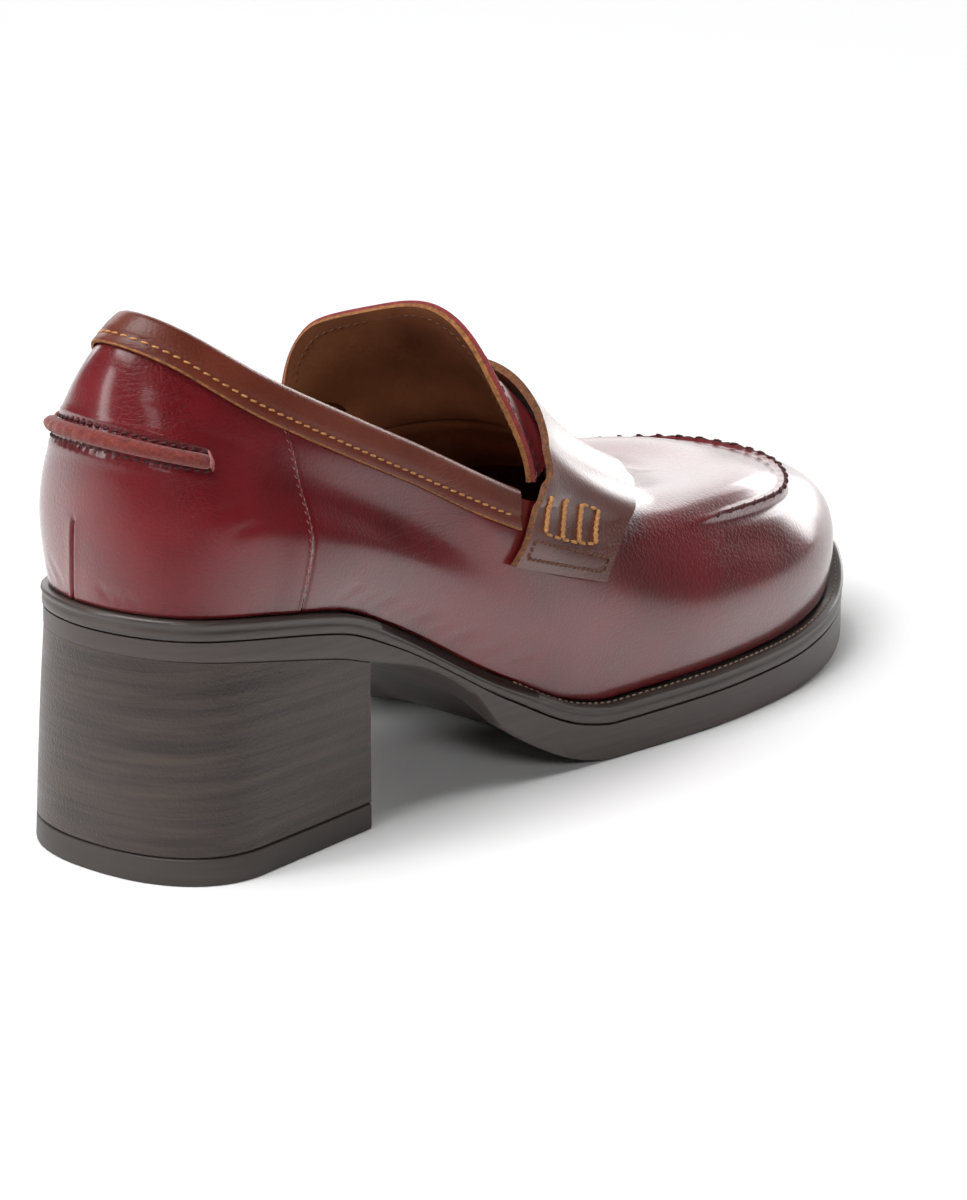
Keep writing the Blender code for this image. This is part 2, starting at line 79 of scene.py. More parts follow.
# Three rings of the upper: x, outer and inner half widths, outer and inner heights, as shares of
# LENGTH, BALL_WIDTH and COLLAR_TOP
SHOULDER = np.array(
    [
        (0.012, 0.000, 0.000, 0.815, 0.815),
        (0.046, 0.186, 0.186, 0.794, 0.794),
        (0.150, 0.297, 0.293, 0.677, 0.677),
        (0.310, 0.366, 0.343, 0.516, 0.540),
        (0.437, 0.430, 0.378, 0.387, 0.420),
        (0.669, 0.390, 0.390, 0.366, 0.370),
        (0.813, 0.326, 0.349, 0.341, 0.341),
        (0.894, 0.163, 0.209, 0.331, 0.331),
        (0.919, -0.029, 0.029, 0.327, 0.327),
    ]
)
CROWN = np.array(
    [
        (0.032, 0.000, 0.000, 0.908, 0.908),
        (0.062, 0.140, 0.130, 0.888, 0.888),
        (0.151, 0.266, 0.262, 0.770, 0.770),
        (0.301, 0.346, 0.326, 0.621, 0.653),
        (0.418, 0.411, 0.374, 0.464, 0.508),
        (0.586, 0.334, 0.328, 0.424, 0.430),
        (0.645, 0.244, 0.250, 0.420, 0.420),
        (0.674, 0.122, 0.140, 0.414, 0.414),
        (0.684, -0.017, 0.017, 0.412, 0.412),
    ]
)
TOPLINE = np.array(
    [
        (0.066, 0.006, -0.006, 0.970, 0.970),
        (0.088, 0.122, 0.104, 0.939, 0.939),
        (0.156, 0.236, 0.230, 0.838, 0.844),
        (0.293, 0.326, 0.308, 0.681, 0.733),
        (0.430, 0.384, 0.360, 0.516, 0.574),
        (0.503, 0.302, 0.296, 0.526, 0.540),
        (0.536, 0.186, 0.190, 0.556, 0.556),
        (0.550, 0.086, 0.096, 0.567, 0.567),
        (0.554, 0.000, 0.000, 0.570, 0.570),
    ]
)
# Top of the rim: x and height
RIM_HEIGHT = np.array(
    [
        (0.0, HEEL_HEIGHT),
        (30.0, HEEL_HEIGHT - 3.6),
        (48.0, HEEL_HEIGHT - 7.0),
        (64.0, HEEL_HEIGHT - 14.0),
        (98.0, PLATFORM + 12.6),
        (120.0, PLATFORM + 1.8),
        (130.0, PLATFORM),
        (186.0, PLATFORM),
        (212.0, PLATFORM + 0.2 * TOE_SPRING),
        (LENGTH, PLATFORM + TOE_SPRING),
    ]
)
TREAD = PLATFORM - MIDSOLE - GAP
# Outsole: x, depth under the groove at its edge and at its middle
OUTSOLE_DEPTH = np.array(
    [
        (0.0, 4.0, 4.0),
        (52.0, 5.6, 5.6),
        (64.0, 3.6, 4.6),
        (78.0, 1.3, 2.8),
        (87.0, 2.0, 2.4),
        (96.0, 7.2, 2.4),
        (106.0, 8.2, 3.4),
        (120.0, TREAD, 6.4),
        (130.0, TREAD, TREAD),
        (LENGTH, TREAD, TREAD),
    ]
)
HEEL_BACK, BREAST_TOP, BREAST_FOOT = 1.6, 56.0, 60.0
HEEL_HALF_WIDTH, HEEL_ROUND, HEEL_SQUARENESS, HEEL_TAPER = 29.4, 22.0, 2.3, 0.05
TONGUE_HALF_WIDTH, TONGUE_FOOT, TONGUE_RISE = 27.5, 67.0, 36.0
TONGUE_BACK, TONGUE_BOW, TONGUE_ROOT, TONGUE_ROUND = 105.0, 3.5, math.radians(71), 0.94
# The tongue bends forward to the strap by this much, in this direction
TONGUE_PRESS, PRESS_WAY = 3.4, np.array([0.72, 0.0, 0.69])
STRAP_OUTER, STRAP_INNER = 37.8, 37.0
# Strap arches: crest x, sweep, outer and inner foot heights, crest height, squareness
STRAP_EDGES = (
    (125.5, 34.3, 52.8, 55.0, 84.9, 2.0),
    (138.3, 33.4, 47.4, 50.5, 69.5, 2.35),
    (152.5, 33.1, 42.1, 45.5, 59.0, 2.7),
)
# How the strap sweeps back from its crest: a power of the share to its side, blunted at the crest
SWEEP_POWER, SWEEP_BLUNT = 0.65, 0.06
# Shares to the side between which the strap comes down on the upper
STRAP_HUG = (0.55, 0.85)


def hermite(before, after, slope_before, slope_after, t):
    """Cubic from one value to the next, with a slope at each end, at share t of the way."""
    return (
        before * (2 * t**3 - 3 * t**2 + 1)
        + slope_before * (t**3 - 2 * t**2 + t)
        + after * (3 * t**2 - 2 * t**3)
        + slope_after * (t**3 - t**2)
    )


def around(outer, inner, angle):
    """Closed cubic through the outer values, back to toe, and the inner ones back again."""
    values = np.concatenate([outer, inner[-2:0:-1]])
    place = np.mod(angle / (2 * math.pi), 1) * len(values)
    i = np.floor(place).astype(int) % len(values)
    j = (i + 1) % len(values)
    slope = (np.roll(values, -1) - np.roll(values, 1)) / 2
    return hermite(values[i], values[j], slope[i], slope[j], place - np.floor(place))


def along(table, column, x):
    """Cubic through a column over the first one; harmonic slopes keep it from overshooting."""
    knots, values = table[:, 0], table[:, column]
    step = np.diff(knots)
    rate = np.diff(values) / step
    turn = rate[:-1] * rate[1:] > 0
    mean = np.where(turn, 2 * rate[:-1] * rate[1:] / np.where(turn, rate[:-1] + rate[1:], 1), 0)
    slope = np.concatenate([rate[:1], mean, rate[-1:]])
    i = np.clip(np.searchsorted(knots, x, side="right") - 1, 0, len(step) - 1)
    t = np.clip((x - knots[i]) / step[i], 0, 1)
    return hermite(values[i], values[i + 1], slope[i] * step[i], slope[i + 1] * step[i], t)


def ease(value, start, end):
    """0 before start, 1 after end, smooth between."""
    t = np.clip((value - start) / (end - start), 0, 1)
    return t * t * (3 - 2 * t)


def unit(vectors):
    """Vectors brought to length 1."""
    return vectors / np.maximum(np.linalg.norm(vectors, axis=-1, keepdims=True), 1e-12)


def walk(path):
    """Distance walked along a path up to each of its points."""
    return np.concatenate([[0], np.cumsum(np.linalg.norm(np.diff(path, axis=0), axis=-1))])


def raised(plan, z):
    """Points of a plan, with a height given to each."""
    return np.concatenate([plan, np.broadcast_to(z, plan.shape[:-1])[..., None]], axis=-1)


def sole_edge(angle):
    """Edge of the sole at an angle round it: 0 at the back, the outer side first, pi at the toe."""
    x = LENGTH * (1 - np.cos(angle)) / 2
    outer, inner = BALL_WIDTH * SOLE_STATIONS[:, 0], BALL_WIDTH * SOLE_STATIONS[:, 1]
    return np.stack([x, around(-outer, inner, angle)], axis=-1)


def sole_plan(angle, out=0.0):
    """Edge of the sole at an angle round it, moved square outwards."""
    forward = unit(sole_edge(angle + 1e-3) - sole_edge(angle - 1e-3))
    outwards = np.stack([forward[..., 1], -forward[..., 0]], axis=-1)
    return sole_edge(angle) + outwards * np.asarray(out)[..., None]


def rim_height(x):
    """Height of the rim's top over the floor."""
    return along(RIM_HEIGHT, 1, x)


def station_ring(table, angle):
    """One ring of the upper from its table, turned inwards over the forepart."""
    x = LENGTH * around(table[:, 0], table[:, 0], angle)
    y = BALL_WIDTH * around(-table[:, 1], table[:, 2], angle)
    z = COLLAR_TOP * around(table[:, 3], table[:, 4], angle)
    return np.stack([x - SWING * y * ease(x, *SWING_RISE) * ease(x, *SWING_FALL), y, z], axis=-1)


def upper_at(angle, up):
    """Outside of the upper, element by element: up runs from 0 at the rim to 1 at the topline.

    A cubic through five rings: rim, swell, shoulder, crown and topline.
    """
    angle, up = np.broadcast_arrays(angle, up)
    rim, swell, height = (around(*[SOLE_STATIONS[:, i]] * 2, angle) for i in (2, 3, 4))
    foot, side = sole_plan(angle, -rim), sole_plan(angle, swell - rim)
    rise = rim_height(foot[..., 0]) + 1.6 * GAP
    tables = (SHOULDER, CROWN, TOPLINE)
    rings = np.stack(
        [raised(foot, rise), raised(side, rise + height), *(station_ring(t, angle) for t in tables)]
    )
    span = np.linalg.norm(np.diff(rings, axis=0), axis=-1)[..., None]
    rate = np.diff(rings, axis=0) / span
    slope = (rate[:-1] * span[1:] + rate[1:] * span[:-1]) / (span[:-1] + span[1:])
    slope = np.concatenate(
        [1.5 * rate[:1] - 0.5 * slope[:1], slope, 1.5 * rate[-1:] - 0.5 * slope[-1:]]
    )
    i = np.clip(np.floor(up * 4).astype(int), 0, 3)[None, ..., None]

    def pick(values, index):
        """The ring below or above each place."""
        return np.take_along_axis(values, np.broadcast_to(index, (1, *values.shape[1:])), 0)[0]

    t = (up * 4 - i[0, ..., 0])[..., None]
    length = pick(span, i[..., :1])
    before, after = pick(slope, i) * length, pick(slope, i + 1) * length
    return hermite(pick(rings, i), pick(rings, i + 1), before, after, t)


def upper_out(angle, up):
    """Outward direction of the upper's skin."""
    by_angle = upper_at(angle + 2e-3, up) - upper_at(angle - 2e-3, up)
    by_up = upper_at(angle, np.clip(up + 0.01, 0, 1)) - upper_at(angle, np.clip(up - 0.01, 0, 1))
    return unit(np.cross(by_angle, by_up))


def on_upper(points):
    """Angle and share up where the upper's sides have the points' x and z, by Newton's rule."""
    side = np.where(points[:, 1] < 0, 1.0, -1.0)
    angle, up = side * np.radians(40 + 0.42 * points[:, 0]), np.full(len(points), 0.5)
    step = 1e-3
    for _ in range(14):
        here = upper_at(angle, up)
        ax, az = ((upper_at(angle + step, up) - here)[:, ::2] / step).T
        ux, uz = ((upper_at(angle, up + step) - here)[:, ::2] / step).T
        mx, mz = (points - here)[:, ::2].T
        det = ax * uz - az * ux
        angle = angle + np.clip((mx * uz - mz * ux) / det, -0.2, 0.2)
        up = np.clip(up + np.clip((ax * mz - az * mx) / det, -0.1, 0.1), 0.02, 0.97)
    return angle, up


def tongue_at(side, up):
    """Outside of the tongue: a quadratic from the throat to the free rim, for each share across.

    Full squares its inner shoulder and tuck draws its outer end in to the strap.
    """
    one = np.ones_like(side)
    angle = math.pi + side * TONGUE_ROOT
    throat = upper_at(angle, one)
    ahead = unit(throat - upper_at(angle, 0.97 * one))
    root = throat + ahead * 3.5 * GAP
    turn = side * TONGUE_ROUND * math.pi / 2
    full, tuck = ease(side, -0.1, 0.65), ease(-side, 0.55, 1)
    y = TONGUE_HALF_WIDTH * np.sin(turn) * (1 + 0.15 * full + 0.08 * tuck)
    rise = np.clip(np.cos(turn), 0, 1) ** (1.15 - 0.62 * full)
    x = TONGUE_BACK + TONGUE_BOW * np.cos(turn) - SWING * y - 4.0 * full + 3.0 * tuck
    rim = np.stack([x, y, TONGUE_FOOT + TONGUE_RISE * rise - 3.0 * tuck], axis=-1)
    bend = root + ahead * 0.45 * np.linalg.norm(rim - root, axis=-1, keepdims=True)
    t = up[..., None]
    skin = root * (1 - t) ** 2 + 2 * bend * t * (1 - t) + rim * t**2
    press = TONGUE_PRESS * np.sin(math.pi * up**0.75) ** 2
    return skin + PRESS_WAY * press[..., None]


def strap_at(side, across):
    """Inside of the strap: three arches, a quadratic across them, its ends laid on the upper."""
    turn = np.abs(side) * math.pi / 2
    reach = np.where(side < 0, -STRAP_OUTER, STRAP_INNER)
    at_crest, at_end = SWEEP_BLUNT**SWEEP_POWER, (1 + SWEEP_BLUNT) ** SWEEP_POWER
    back = ((side**2 + SWEEP_BLUNT) ** SWEEP_POWER - at_crest) / (at_end - at_crest)
    arches = []
    for crest_x, sweep, outer_z, inner_z, crest_z, squareness in STRAP_EDGES:
        y = reach * np.sin(turn) ** (2 / squareness)
        rise = np.clip(np.cos(turn), 0, 1) ** (2 / squareness)
        foot_z = np.where(side < 0, outer_z, inner_z)
        x = crest_x - sweep * back - SWING * y
        arches.append(np.stack([x, y, foot_z + (crest_z - foot_z) * rise], axis=-1))
    rear, middle, front = arches
    t = across[..., None]
    skin = rear * (1 - t) * (1 - 2 * t) + middle * 4 * t * (1 - t) + front * t * (2 * t - 1)
    angle, up = on_upper(skin.reshape(-1, 3))
    laid = upper_at(angle, up) + upper_out(angle, up) * (GAP + 0.2)
    hug = ease(np.abs(side), *STRAP_HUG)[..., None]
    return skin * (1 - hug) + laid.reshape(skin.shape) * hug


def height_on_upper(angle, z):
    """Share up the upper at which its skin reaches height z, found by halving the range."""
    low, high = np.zeros_like(angle), np.ones_like(angle)
    for _ in range(24):
        middle = (low + high) / 2
        short = upper_at(angle, middle)[..., 2] < z
        low, high = np.where(short, middle, low), np.where(short, high, middle)
    return low


# Seams of the upper: sizes in mm, and tables of share up and angle along the seams
SEAM_PROUD, SEAM_WIDTH, SEAM_PITCH = 1.5, 1.1, 4.6
# The plug's seam lies at this share up; it fades out between two angles from the toe
PLUG_UP, PLUG_FADE = 0.5, (1.26, 0.98)
COUNTER_LAP, INNER_LAP = 0.22, 0.5
COUNTER_UP = (0.0, 0.135, 0.23, 0.425, 0.645, 0.83, 1.0)
COUNTER_ANGLE = np.radians((45.6, 46.3, 47.0, 47.3, 47.0, 46.3, 45.4))
DART_UP, DART_ANGLE = (0.0, 0.12, 0.235), np.radians((-5.3, -3.7, -2.7))
INNER_SEAM_UP, INNER_SEAM_ANGLE = (0.0, 0.2, 0.45, 0.6), np.radians((-62.0, -68.0, -79.0, -88.0))
STRIP_REACH, STRIP_WIDTH, STRIP_PROUD = math.radians(30), 3.4, 2.2
STRIP_BACK_Z, STRIP_END_Z = 97.8, 92.4
STRIP_ROW, STRIP_PITCH = 2.7, 2.3
# Millimetres of leather to a radian round the shoe at four seams, and to a share of 1 up its back
QUARTER_ROUND, DART_ROUND, STRIP_ROUND, PLUG_ROUND, BACK_UP = 88.0, 55.0, 52.0, 190.0, 92.0
# Profiles across the seams: height, place and half width of each ridge, or trough where negative
PLUG_TROUGH = ((-0.35, -2.6, 1.2),)
COUNTER_PROFILE = ((0.3, 0.0, 0.5), (-0.22, 0.9, 0.5))
DART_PROFILE = ((0.3, 0.0, 1.7), (-1.0, 0.0, 0.42))
STRIP_TROUGHS = ((-0.42, STRIP_ROW, 0.8), (-0.42, -STRIP_ROW, 0.8))
STRIP_SWELLS = ((0.2, 4.4, 1.3), (0.2, -4.4, 1.3))
# Creases: angle and share up at each end, half width and depth in mm
CREASES = (
    (-14, 0.10, -8, 0.02, 1.1, 0.30),
    (-17, 0.07, -12, 0.01, 1.0, 0.25),
    (3, 0.075, 7, 0.015, 0.9, 0.28),
    (6, 0.07, 10, 0.012, 0.8, 0.22),
    (9, 0.065, 13, 0.01, 0.8, 0.15),
    (14, 0.62, 31, 0.66, 1.2, 0.18),
    (18, 0.70, 38, 0.74, 1.1, 0.18),
    (22, 0.56, 41, 0.60, 1.3, 0.20),
    (24, 0.78, 42, 0.80, 1.0, 0.14),
    (28, 0.30, 38, 0.36, 1.4, 0.22),
    (31, 0.24, 41, 0.30, 1.4, 0.16),
    (52, 0.03, 57, 0.11, 0.9, 0.24),
    (55, 0.02, 60, 0.10, 0.8, 0.22),
    (58, 0.02, 63, 0.12, 0.9, 0.34),
    (61, 0.015, 66, 0.11, 0.8, 0.30),
    (64, 0.015, 69, 0.13, 0.9, 0.38),
    (67, 0.02, 72, 0.12, 0.8, 0.30),
    (70, 0.02, 75, 0.14, 1.0, 0.36),
    (74, 0.03, 79, 0.13, 0.9, 0.28),
    (78, 0.03, 84, 0.16, 1.1, 0.26),
    (-57, 0.03, -63, 0.14, 1.3, 0.25),
    (-66, 0.03, -73, 0.16, 1.4, 0.25),
    (-20, 0.62, -37, 0.66, 1.2, 0.18),
    (-24, 0.72, -41, 0.75, 1.1, 0.16),
    (166, 0.68, 196, 0.66, 2.6, 0.50),
    (160, 0.76, 201, 0.745, 2.4, 0.45),
    (128, 0.36, 112, 0.42, 3.2, 0.3),
    (-128, 0.36, -112, 0.42, 3.2, 0.3),
)


def hump(distance, width):
    """Bell curve, 1 in the middle."""
    return np.exp(-((distance / width) ** 2))


def ridges(away, rows):
    """Sum of a profile's bell curves at some distance from its line."""
    return sum(height * hump(away - place, width) for height, place, width in rows)


def crease(angle, up, ends, width, depth):
    """Trough in mm about a straight line in angle and share up, fading at the line's ends."""
    start = np.array([math.radians(ends[0]), ends[1]])
    run = np.array([math.radians(ends[2]), ends[3]]) - start
    middle = start + run / 2
    here = upper_at(middle[:1], middle[1:])[0]
    by_angle = (upper_at(middle[:1] + 1e-3, middle[1:])[0] - here) / 1e-3
    by_up = (upper_at(middle[:1], middle[1:] + 1e-3)[0] - here) / 1e-3
    line = run[0] * by_angle + run[1] * by_up
    turned = (angle - start[0] + math.pi) % (2 * math.pi) - math.pi
    offset = turned[..., None] * by_angle + (up - start[1])[..., None] * by_up
    share = offset @ line / (line @ line)
    away = np.linalg.norm(offset - share[..., None] * line, axis=-1)
    return -depth * hump(away, width) * np.clip(4 * share * (1 - share), 0, 1)


def plug_seam(angle, up):
    """Distance in mm from the plug's seam, plus towards the plug, and how far it shows there."""
    base = np.full_like(angle, PLUG_UP)
    here = upper_at(angle, base)
    above = np.linalg.norm(upper_at(angle, base + 0.02) - here, axis=-1) / 0.02
    below = np.linalg.norm(upper_at(angle, base - 0.02) - here, axis=-1) / 0.02
    forepart = ease(np.abs(np.mod(angle, 2 * math.pi) - math.pi), *PLUG_FADE)
    return (up - PLUG_UP) * np.where(up > PLUG_UP, above, below), forepart


def strip_share(angle):
    """Share up the upper of the heel strip's middle line, which droops towards both ends."""
    droop = (np.clip(angle / STRIP_REACH, -1.4, 1.4)) ** 2
    return height_on_upper(angle, STRIP_BACK_Z + (STRIP_END_Z - STRIP_BACK_Z) * droop)


def upper_relief(angle, up):
    """Height of the leather over the plain skin in mm: seams, dart, strip's puckers, creases."""
    turn = (angle + math.pi) % (2 * math.pi) - math.pi
    seam, forepart = plug_seam(angle, up)
    gather = 1 + 0.1 * np.cos(angle * PLUG_ROUND / SEAM_PITCH * 2)
    relief = forepart * gather * SEAM_PROUD * hump(seam, SEAM_WIDTH)
    relief = relief + forepart * ridges(seam, PLUG_TROUGH)
    for side in (1, -1):
        away = (side * turn - np.interp(up, COUNTER_UP, COUNTER_ANGLE)) * QUARTER_ROUND
        overlap = COUNTER_LAP * ease(away, 0.2, -0.6) * ease(away, -9, -2)
        relief = relief + ridges(away, COUNTER_PROFILE) + overlap
    away = (turn - np.interp(up, DART_UP, DART_ANGLE)) * DART_ROUND
    relief = relief + ease(up, 0.25, 0.21) * ridges(away, DART_PROFILE)
    away = (turn - np.interp(up, INNER_SEAM_UP, INNER_SEAM_ANGLE)) * QUARTER_ROUND
    overlap = INNER_LAP * ease(away, -0.4, 0.4) * ease(away, 8, 1)
    relief = relief + overlap * ease(up, 0.62, 0.5)
    near = np.abs(turn) < 1.35 * STRIP_REACH
    share = np.zeros_like(turn)
    share[near] = strip_share(turn[near])
    away = np.where(near, (up - share) * BACK_UP, 99.0)
    puckers = 0.55 + 0.45 * np.cos(turn * STRIP_ROUND / STRIP_PITCH * 2 * math.pi)
    ends = ease(np.abs(turn), 1.06 * STRIP_REACH, 0.96 * STRIP_REACH)
    relief = relief + ends * (puckers * ridges(away, STRIP_TROUGHS) + ridges(away, STRIP_SWELLS))
    for *line, width, depth in CREASES:
        relief = relief + crease(angle, up, line, width, depth)
    return relief


# Meshes
WELD = 2e-6


def grid_faces(ids, round_rows=False, round_columns=False):
    """Four-sided faces of grids of vertex numbers; a round direction joins its end to its start."""
    if round_rows:
        ids = np.concatenate([ids, ids[..., :1, :]], axis=-2)
    if round_columns:
        ids = np.concatenate([ids, ids[..., :1]], axis=-1)
    near, far = ids[..., :-1, :], ids[..., 1:, :]
    corners = near[..., :-1], near[..., 1:], far[..., 1:], far[..., :-1]
    return np.stack(corners, axis=-1).reshape(-1, 4)


def numbered(*shape):
    """Vertex numbers of a grid, in order."""
    return np.arange(np.prod(shape)).reshape(shape)


def add_piece(name, covers, points, faces, looks, face_looks=None, sharp=None, closed=True):
    """A smooth mesh from points in mm, in the row frame, riding on the shoe's one body.

    Faces are arrays of vertex numbers; points that none of them uses are left out.
    """
    used = np.unique(np.concatenate([group.ravel() for group in faces]))
    place = (points.reshape(-1, 3)[used] + MIDDLE) * MM
    corners = [face for group in faces for face in np.searchsorted(used, group).tolist()]
    mesh = bpy.data.meshes.new(name)
    mesh.from_pydata(place.tolist(), [], corners)
    for look in looks:
        mesh.materials.append(look)
    if face_looks is not None:
        mesh.polygons.foreach_set("material_index", np.asarray(face_looks, dtype=np.int32))
    if closed:
        weld = bmesh.new()
        weld.from_mesh(mesh)
        bmesh.ops.remove_doubles(weld, verts=weld.verts, dist=WELD)
        bmesh.ops.recalc_face_normals(weld, faces=weld.faces)
        weld.to_mesh(mesh)
        weld.free()
    mesh.polygons.foreach_set("use_smooth", np.ones(len(mesh.polygons), dtype=bool))
    if sharp:
        mesh.set_sharp_from_angle(angle=math.radians(sharp))
    made = bpy.data.objects.new(name, mesh)
    bpy.context.scene.collection.objects.link(made)
    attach(made, "root")
    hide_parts(covers)
    return made


def thicken(made, thickness, offset, rounding=0.25):
    """Gives a sheet its thickness, with looks of their own for back and cut edge, edges eased."""
    wall = made.modifiers.new("Thickness", "SOLIDIFY")
    wall.thickness, wall.offset, wall.use_even_offset = thickness * MM, offset, False
    wall.material_offset, wall.material_offset_rim = 1, 2
    ease_edge = made.modifiers.new("Eased edge", "BEVEL")
    ease_edge.width, ease_edge.segments = rounding * MM, 2
    ease_edge.limit_method, ease_edge.angle_limit = "ANGLE", math.radians(50)
    ease_edge.harden_normals = True


def swept(name, covers, sections, looks, side_looks=0, sharp=None):
    """A bar from closed sections along a path, its two ends filled."""
    ids = numbered(*sections.shape[:2])
    faces = grid_faces(ids, round_columns=True)
    face_looks = np.broadcast_to(side_looks, (len(ids) - 1, ids.shape[1])).ravel()
    face_looks = np.concatenate([face_looks, [0, 0]])
    add_piece(name, covers, sections, [faces, ids[[0, -1]]], looks, face_looks, sharp)


def stacked(name, covers, rings, look):
    """A body from rings stacked upwards, closed by drawing its end rings to their middles."""
    def drawn(ring, share):
        """A ring drawn to its middle by a share of the way."""
        return ring * (1 - share) + ring.mean(axis=0) * share

    first, last = rings[0], rings[-1]
    rings = np.stack(
        [drawn(first, 1), drawn(first, 0.5), *rings, drawn(last, 0.5), drawn(last, 1)]
    )
    faces = grid_faces(numbered(*rings.shape[:2]), round_columns=True)
    add_piece(name, covers, rings, [faces], [look], sharp=40)


def even_steps(path, outs, pitch, length, slant=0.0):
    """Starts, ends and outward directions of stitches at even steps along a path."""
    distance = walk(path)
    count = max(int(distance[-1] / pitch), 1)
    begin = (np.arange(count) + 0.5) * distance[-1] / count - length / 2

    def at(where, values):
        """Values at some distances along the path."""
        return np.stack([np.interp(where, distance, values[:, i]) for i in range(3)], axis=-1)

    start, finish = at(begin, path), at(begin + length, path)
    out = unit(at(begin + length / 2, outs))
    lean = np.cross(out, unit(finish - start)) * slant
    return start - lean, finish + lean, out


def add_stitches(name, covers, rows, radius, look, lift=0.35):
    """Six-sided thread bars, drawn in at both ends and bowed out, one for each start and end."""
    start, finish, out = (np.concatenate(values) for values in zip(*rows))
    share = np.array([0, 0.14, 0.5, 0.86, 1])
    size = np.array([0.3, 0.9, 1, 0.9, 0.3]) * radius
    bow = np.array([-0.9, 0.1, lift, 0.1, -0.9]) * radius
    run = finish - start
    across = unit(np.cross(out, run))
    turn = np.arange(6) * math.pi / 3
    ring = across[:, None] * np.cos(turn)[:, None] + out[:, None] * np.sin(turn)[:, None]
    spine = start[:, None] + run[:, None] * share[:, None] + out[:, None] * bow[:, None]
    points = spine[:, :, None] + ring[:, None] * size[:, None, None]
    ids = numbered(*points.shape[:3])
    caps = np.concatenate([ids[:, 0, ::-1], ids[:, -1]])
    faces = [grid_faces(ids, round_columns=True), caps]
    add_piece(name, covers, points, faces, [look], closed=False)


def add_cords(name, covers, lines, radius, look, sides=10):
    """Two-ply cords: tubes whose round section is waved by a spiral of two plies."""
    turn = np.arange(sides) * 2 * math.pi / sides
    tubes = []
    for path, out in lines:
        across = unit(np.cross(out, unit(np.gradient(path, axis=0))))
        walked = walk(path)
        ply = 1 + 0.2 * np.cos(2 * (turn - walked[:, None] * 2.2))
        tuck = np.minimum(1, 0.35 + np.minimum(walked, walked[-1] - walked) / radius)[:, None]
        ring = across[:, None] * np.cos(turn)[:, None] + out[:, None] * np.sin(turn)[:, None]
        tubes.append(path[:, None] + ring * (radius * ply * tuck)[..., None])
    points = np.stack(tubes)
    ids = numbered(*points.shape[:3])
    caps = ids[:, [0, -1]].reshape(-1, sides)
    add_piece(name, covers, points, [grid_faces(ids, round_columns=True), caps], [look])


# Finishes
def tone(red, green, blue):
    """Screen colour, 0 to 255, as the linear colour that shaders use."""
    share = np.array([red, green, blue]) / 255
    linear = np.where(share <= 0.04045, share / 12.92, ((share + 0.055) / 1.055) ** 2.4)
    return (*linear.tolist(), 1.0)


def node(tree, kind, values=None, **settings):
    """Adds a node; each value is a number, a colour, or another node's output to link."""
    made = tree.nodes.new(kind)
    for key, value in settings.items():
        setattr(made, key, value)
    for socket, value in (values or {}).items():
        if isinstance(value, bpy.types.NodeSocket):
            tree.links.new(value, made.inputs[socket])
        else:
            made.inputs[socket].default_value = value
    return made


def new_group(name, *inputs):
    """An empty shader group with a place and named numbers in, a height and a mask out."""
    group = bpy.data.node_groups.new(name, "ShaderNodeTree")
    group.interface.new_socket("Place", in_out="INPUT", socket_type="NodeSocketVector")
    for socket in inputs:
        group.interface.new_socket(socket, in_out="INPUT", socket_type="NodeSocketFloat")
    for socket in ("Height", "Mask"):
        group.interface.new_socket(socket, in_out="OUTPUT", socket_type="NodeSocketFloat")
    return group, node(group, "NodeGroupInput").outputs, node(group, "NodeGroupOutput").inputs


def math_node(tree, operation, first, second):
    """One sum of two values, each a number or an output."""
    return node(tree, "ShaderNodeMath", {0: first, 1: second}, operation=operation).outputs[0]


def noise(tree, place, scale, **values):
    """Noise of so many features to a metre; further values go by socket name."""
    return node(tree, "ShaderNodeTexNoise", {"Vector": place, "Scale": scale, **values}).outputs[0]


def stretch(tree, value, low, high, to_low=0.0, to_high=1.0):
    """Brings the range from low to high to another range, held at its ends."""
    ends = {"From Min": low, "From Max": high, "To Min": to_low, "To Max": to_high}
    return node(tree, "ShaderNodeMapRange", {"Value": value, **ends}).outputs[0]


def turned(tree, place, scale, rotation=(0, 0, 0)):
    """Coordinates turned and stretched."""
    values = {"Vector": place, "Rotation": rotation, "Scale": scale}
    return node(tree, "ShaderNodeMapping", values).outputs[0]


def make_leather_grain():
    """Pebbles are rounded cells, pores fine noise, wrinkles the lines where a noise is 0.5."""
    group, given, made = new_group("Leather grain", "Pebbles per metre", "Wrinkles")
    cells = node(group, "ShaderNodeTexVoronoi", {"Vector": given[0], "Scale": given[1]})
    pores = noise(group, given[0], 2600.0, Detail=3.0)
    slanted = turned(group, given[0], (0.3, 0.35, 2.0), (0.5, 0.35, 0.2))
    lines = noise(group, slanted, 300.0, Detail=3.0, Distortion=0.5)
    crossing = math_node(group, "ABSOLUTE", math_node(group, "SUBTRACT", lines, 0.5), 0.0)
    thin = stretch(group, crossing, 0.0, 0.045, -1.0, 0.0)
    where = stretch(group, noise(group, given[0], 38.0, Detail=1.0), 0.5, 0.68)
    wrinkles = math_node(group, "MULTIPLY", math_node(group, "MULTIPLY", thin, where), given[2])
    pebbles = math_node(group, "MULTIPLY", cells.outputs["Distance"], -0.55)
    fine = math_node(group, "MULTIPLY", pores, 0.45)
    height = math_node(group, "ADD", math_node(group, "ADD", pebbles, fine), wrinkles)
    group.links.new(height, made[0])
    cloud = noise(group, given[0], 45.0, Detail=5.0)
    group.links.new(stretch(group, cloud, 0.32, 0.68), made[1])
    return group


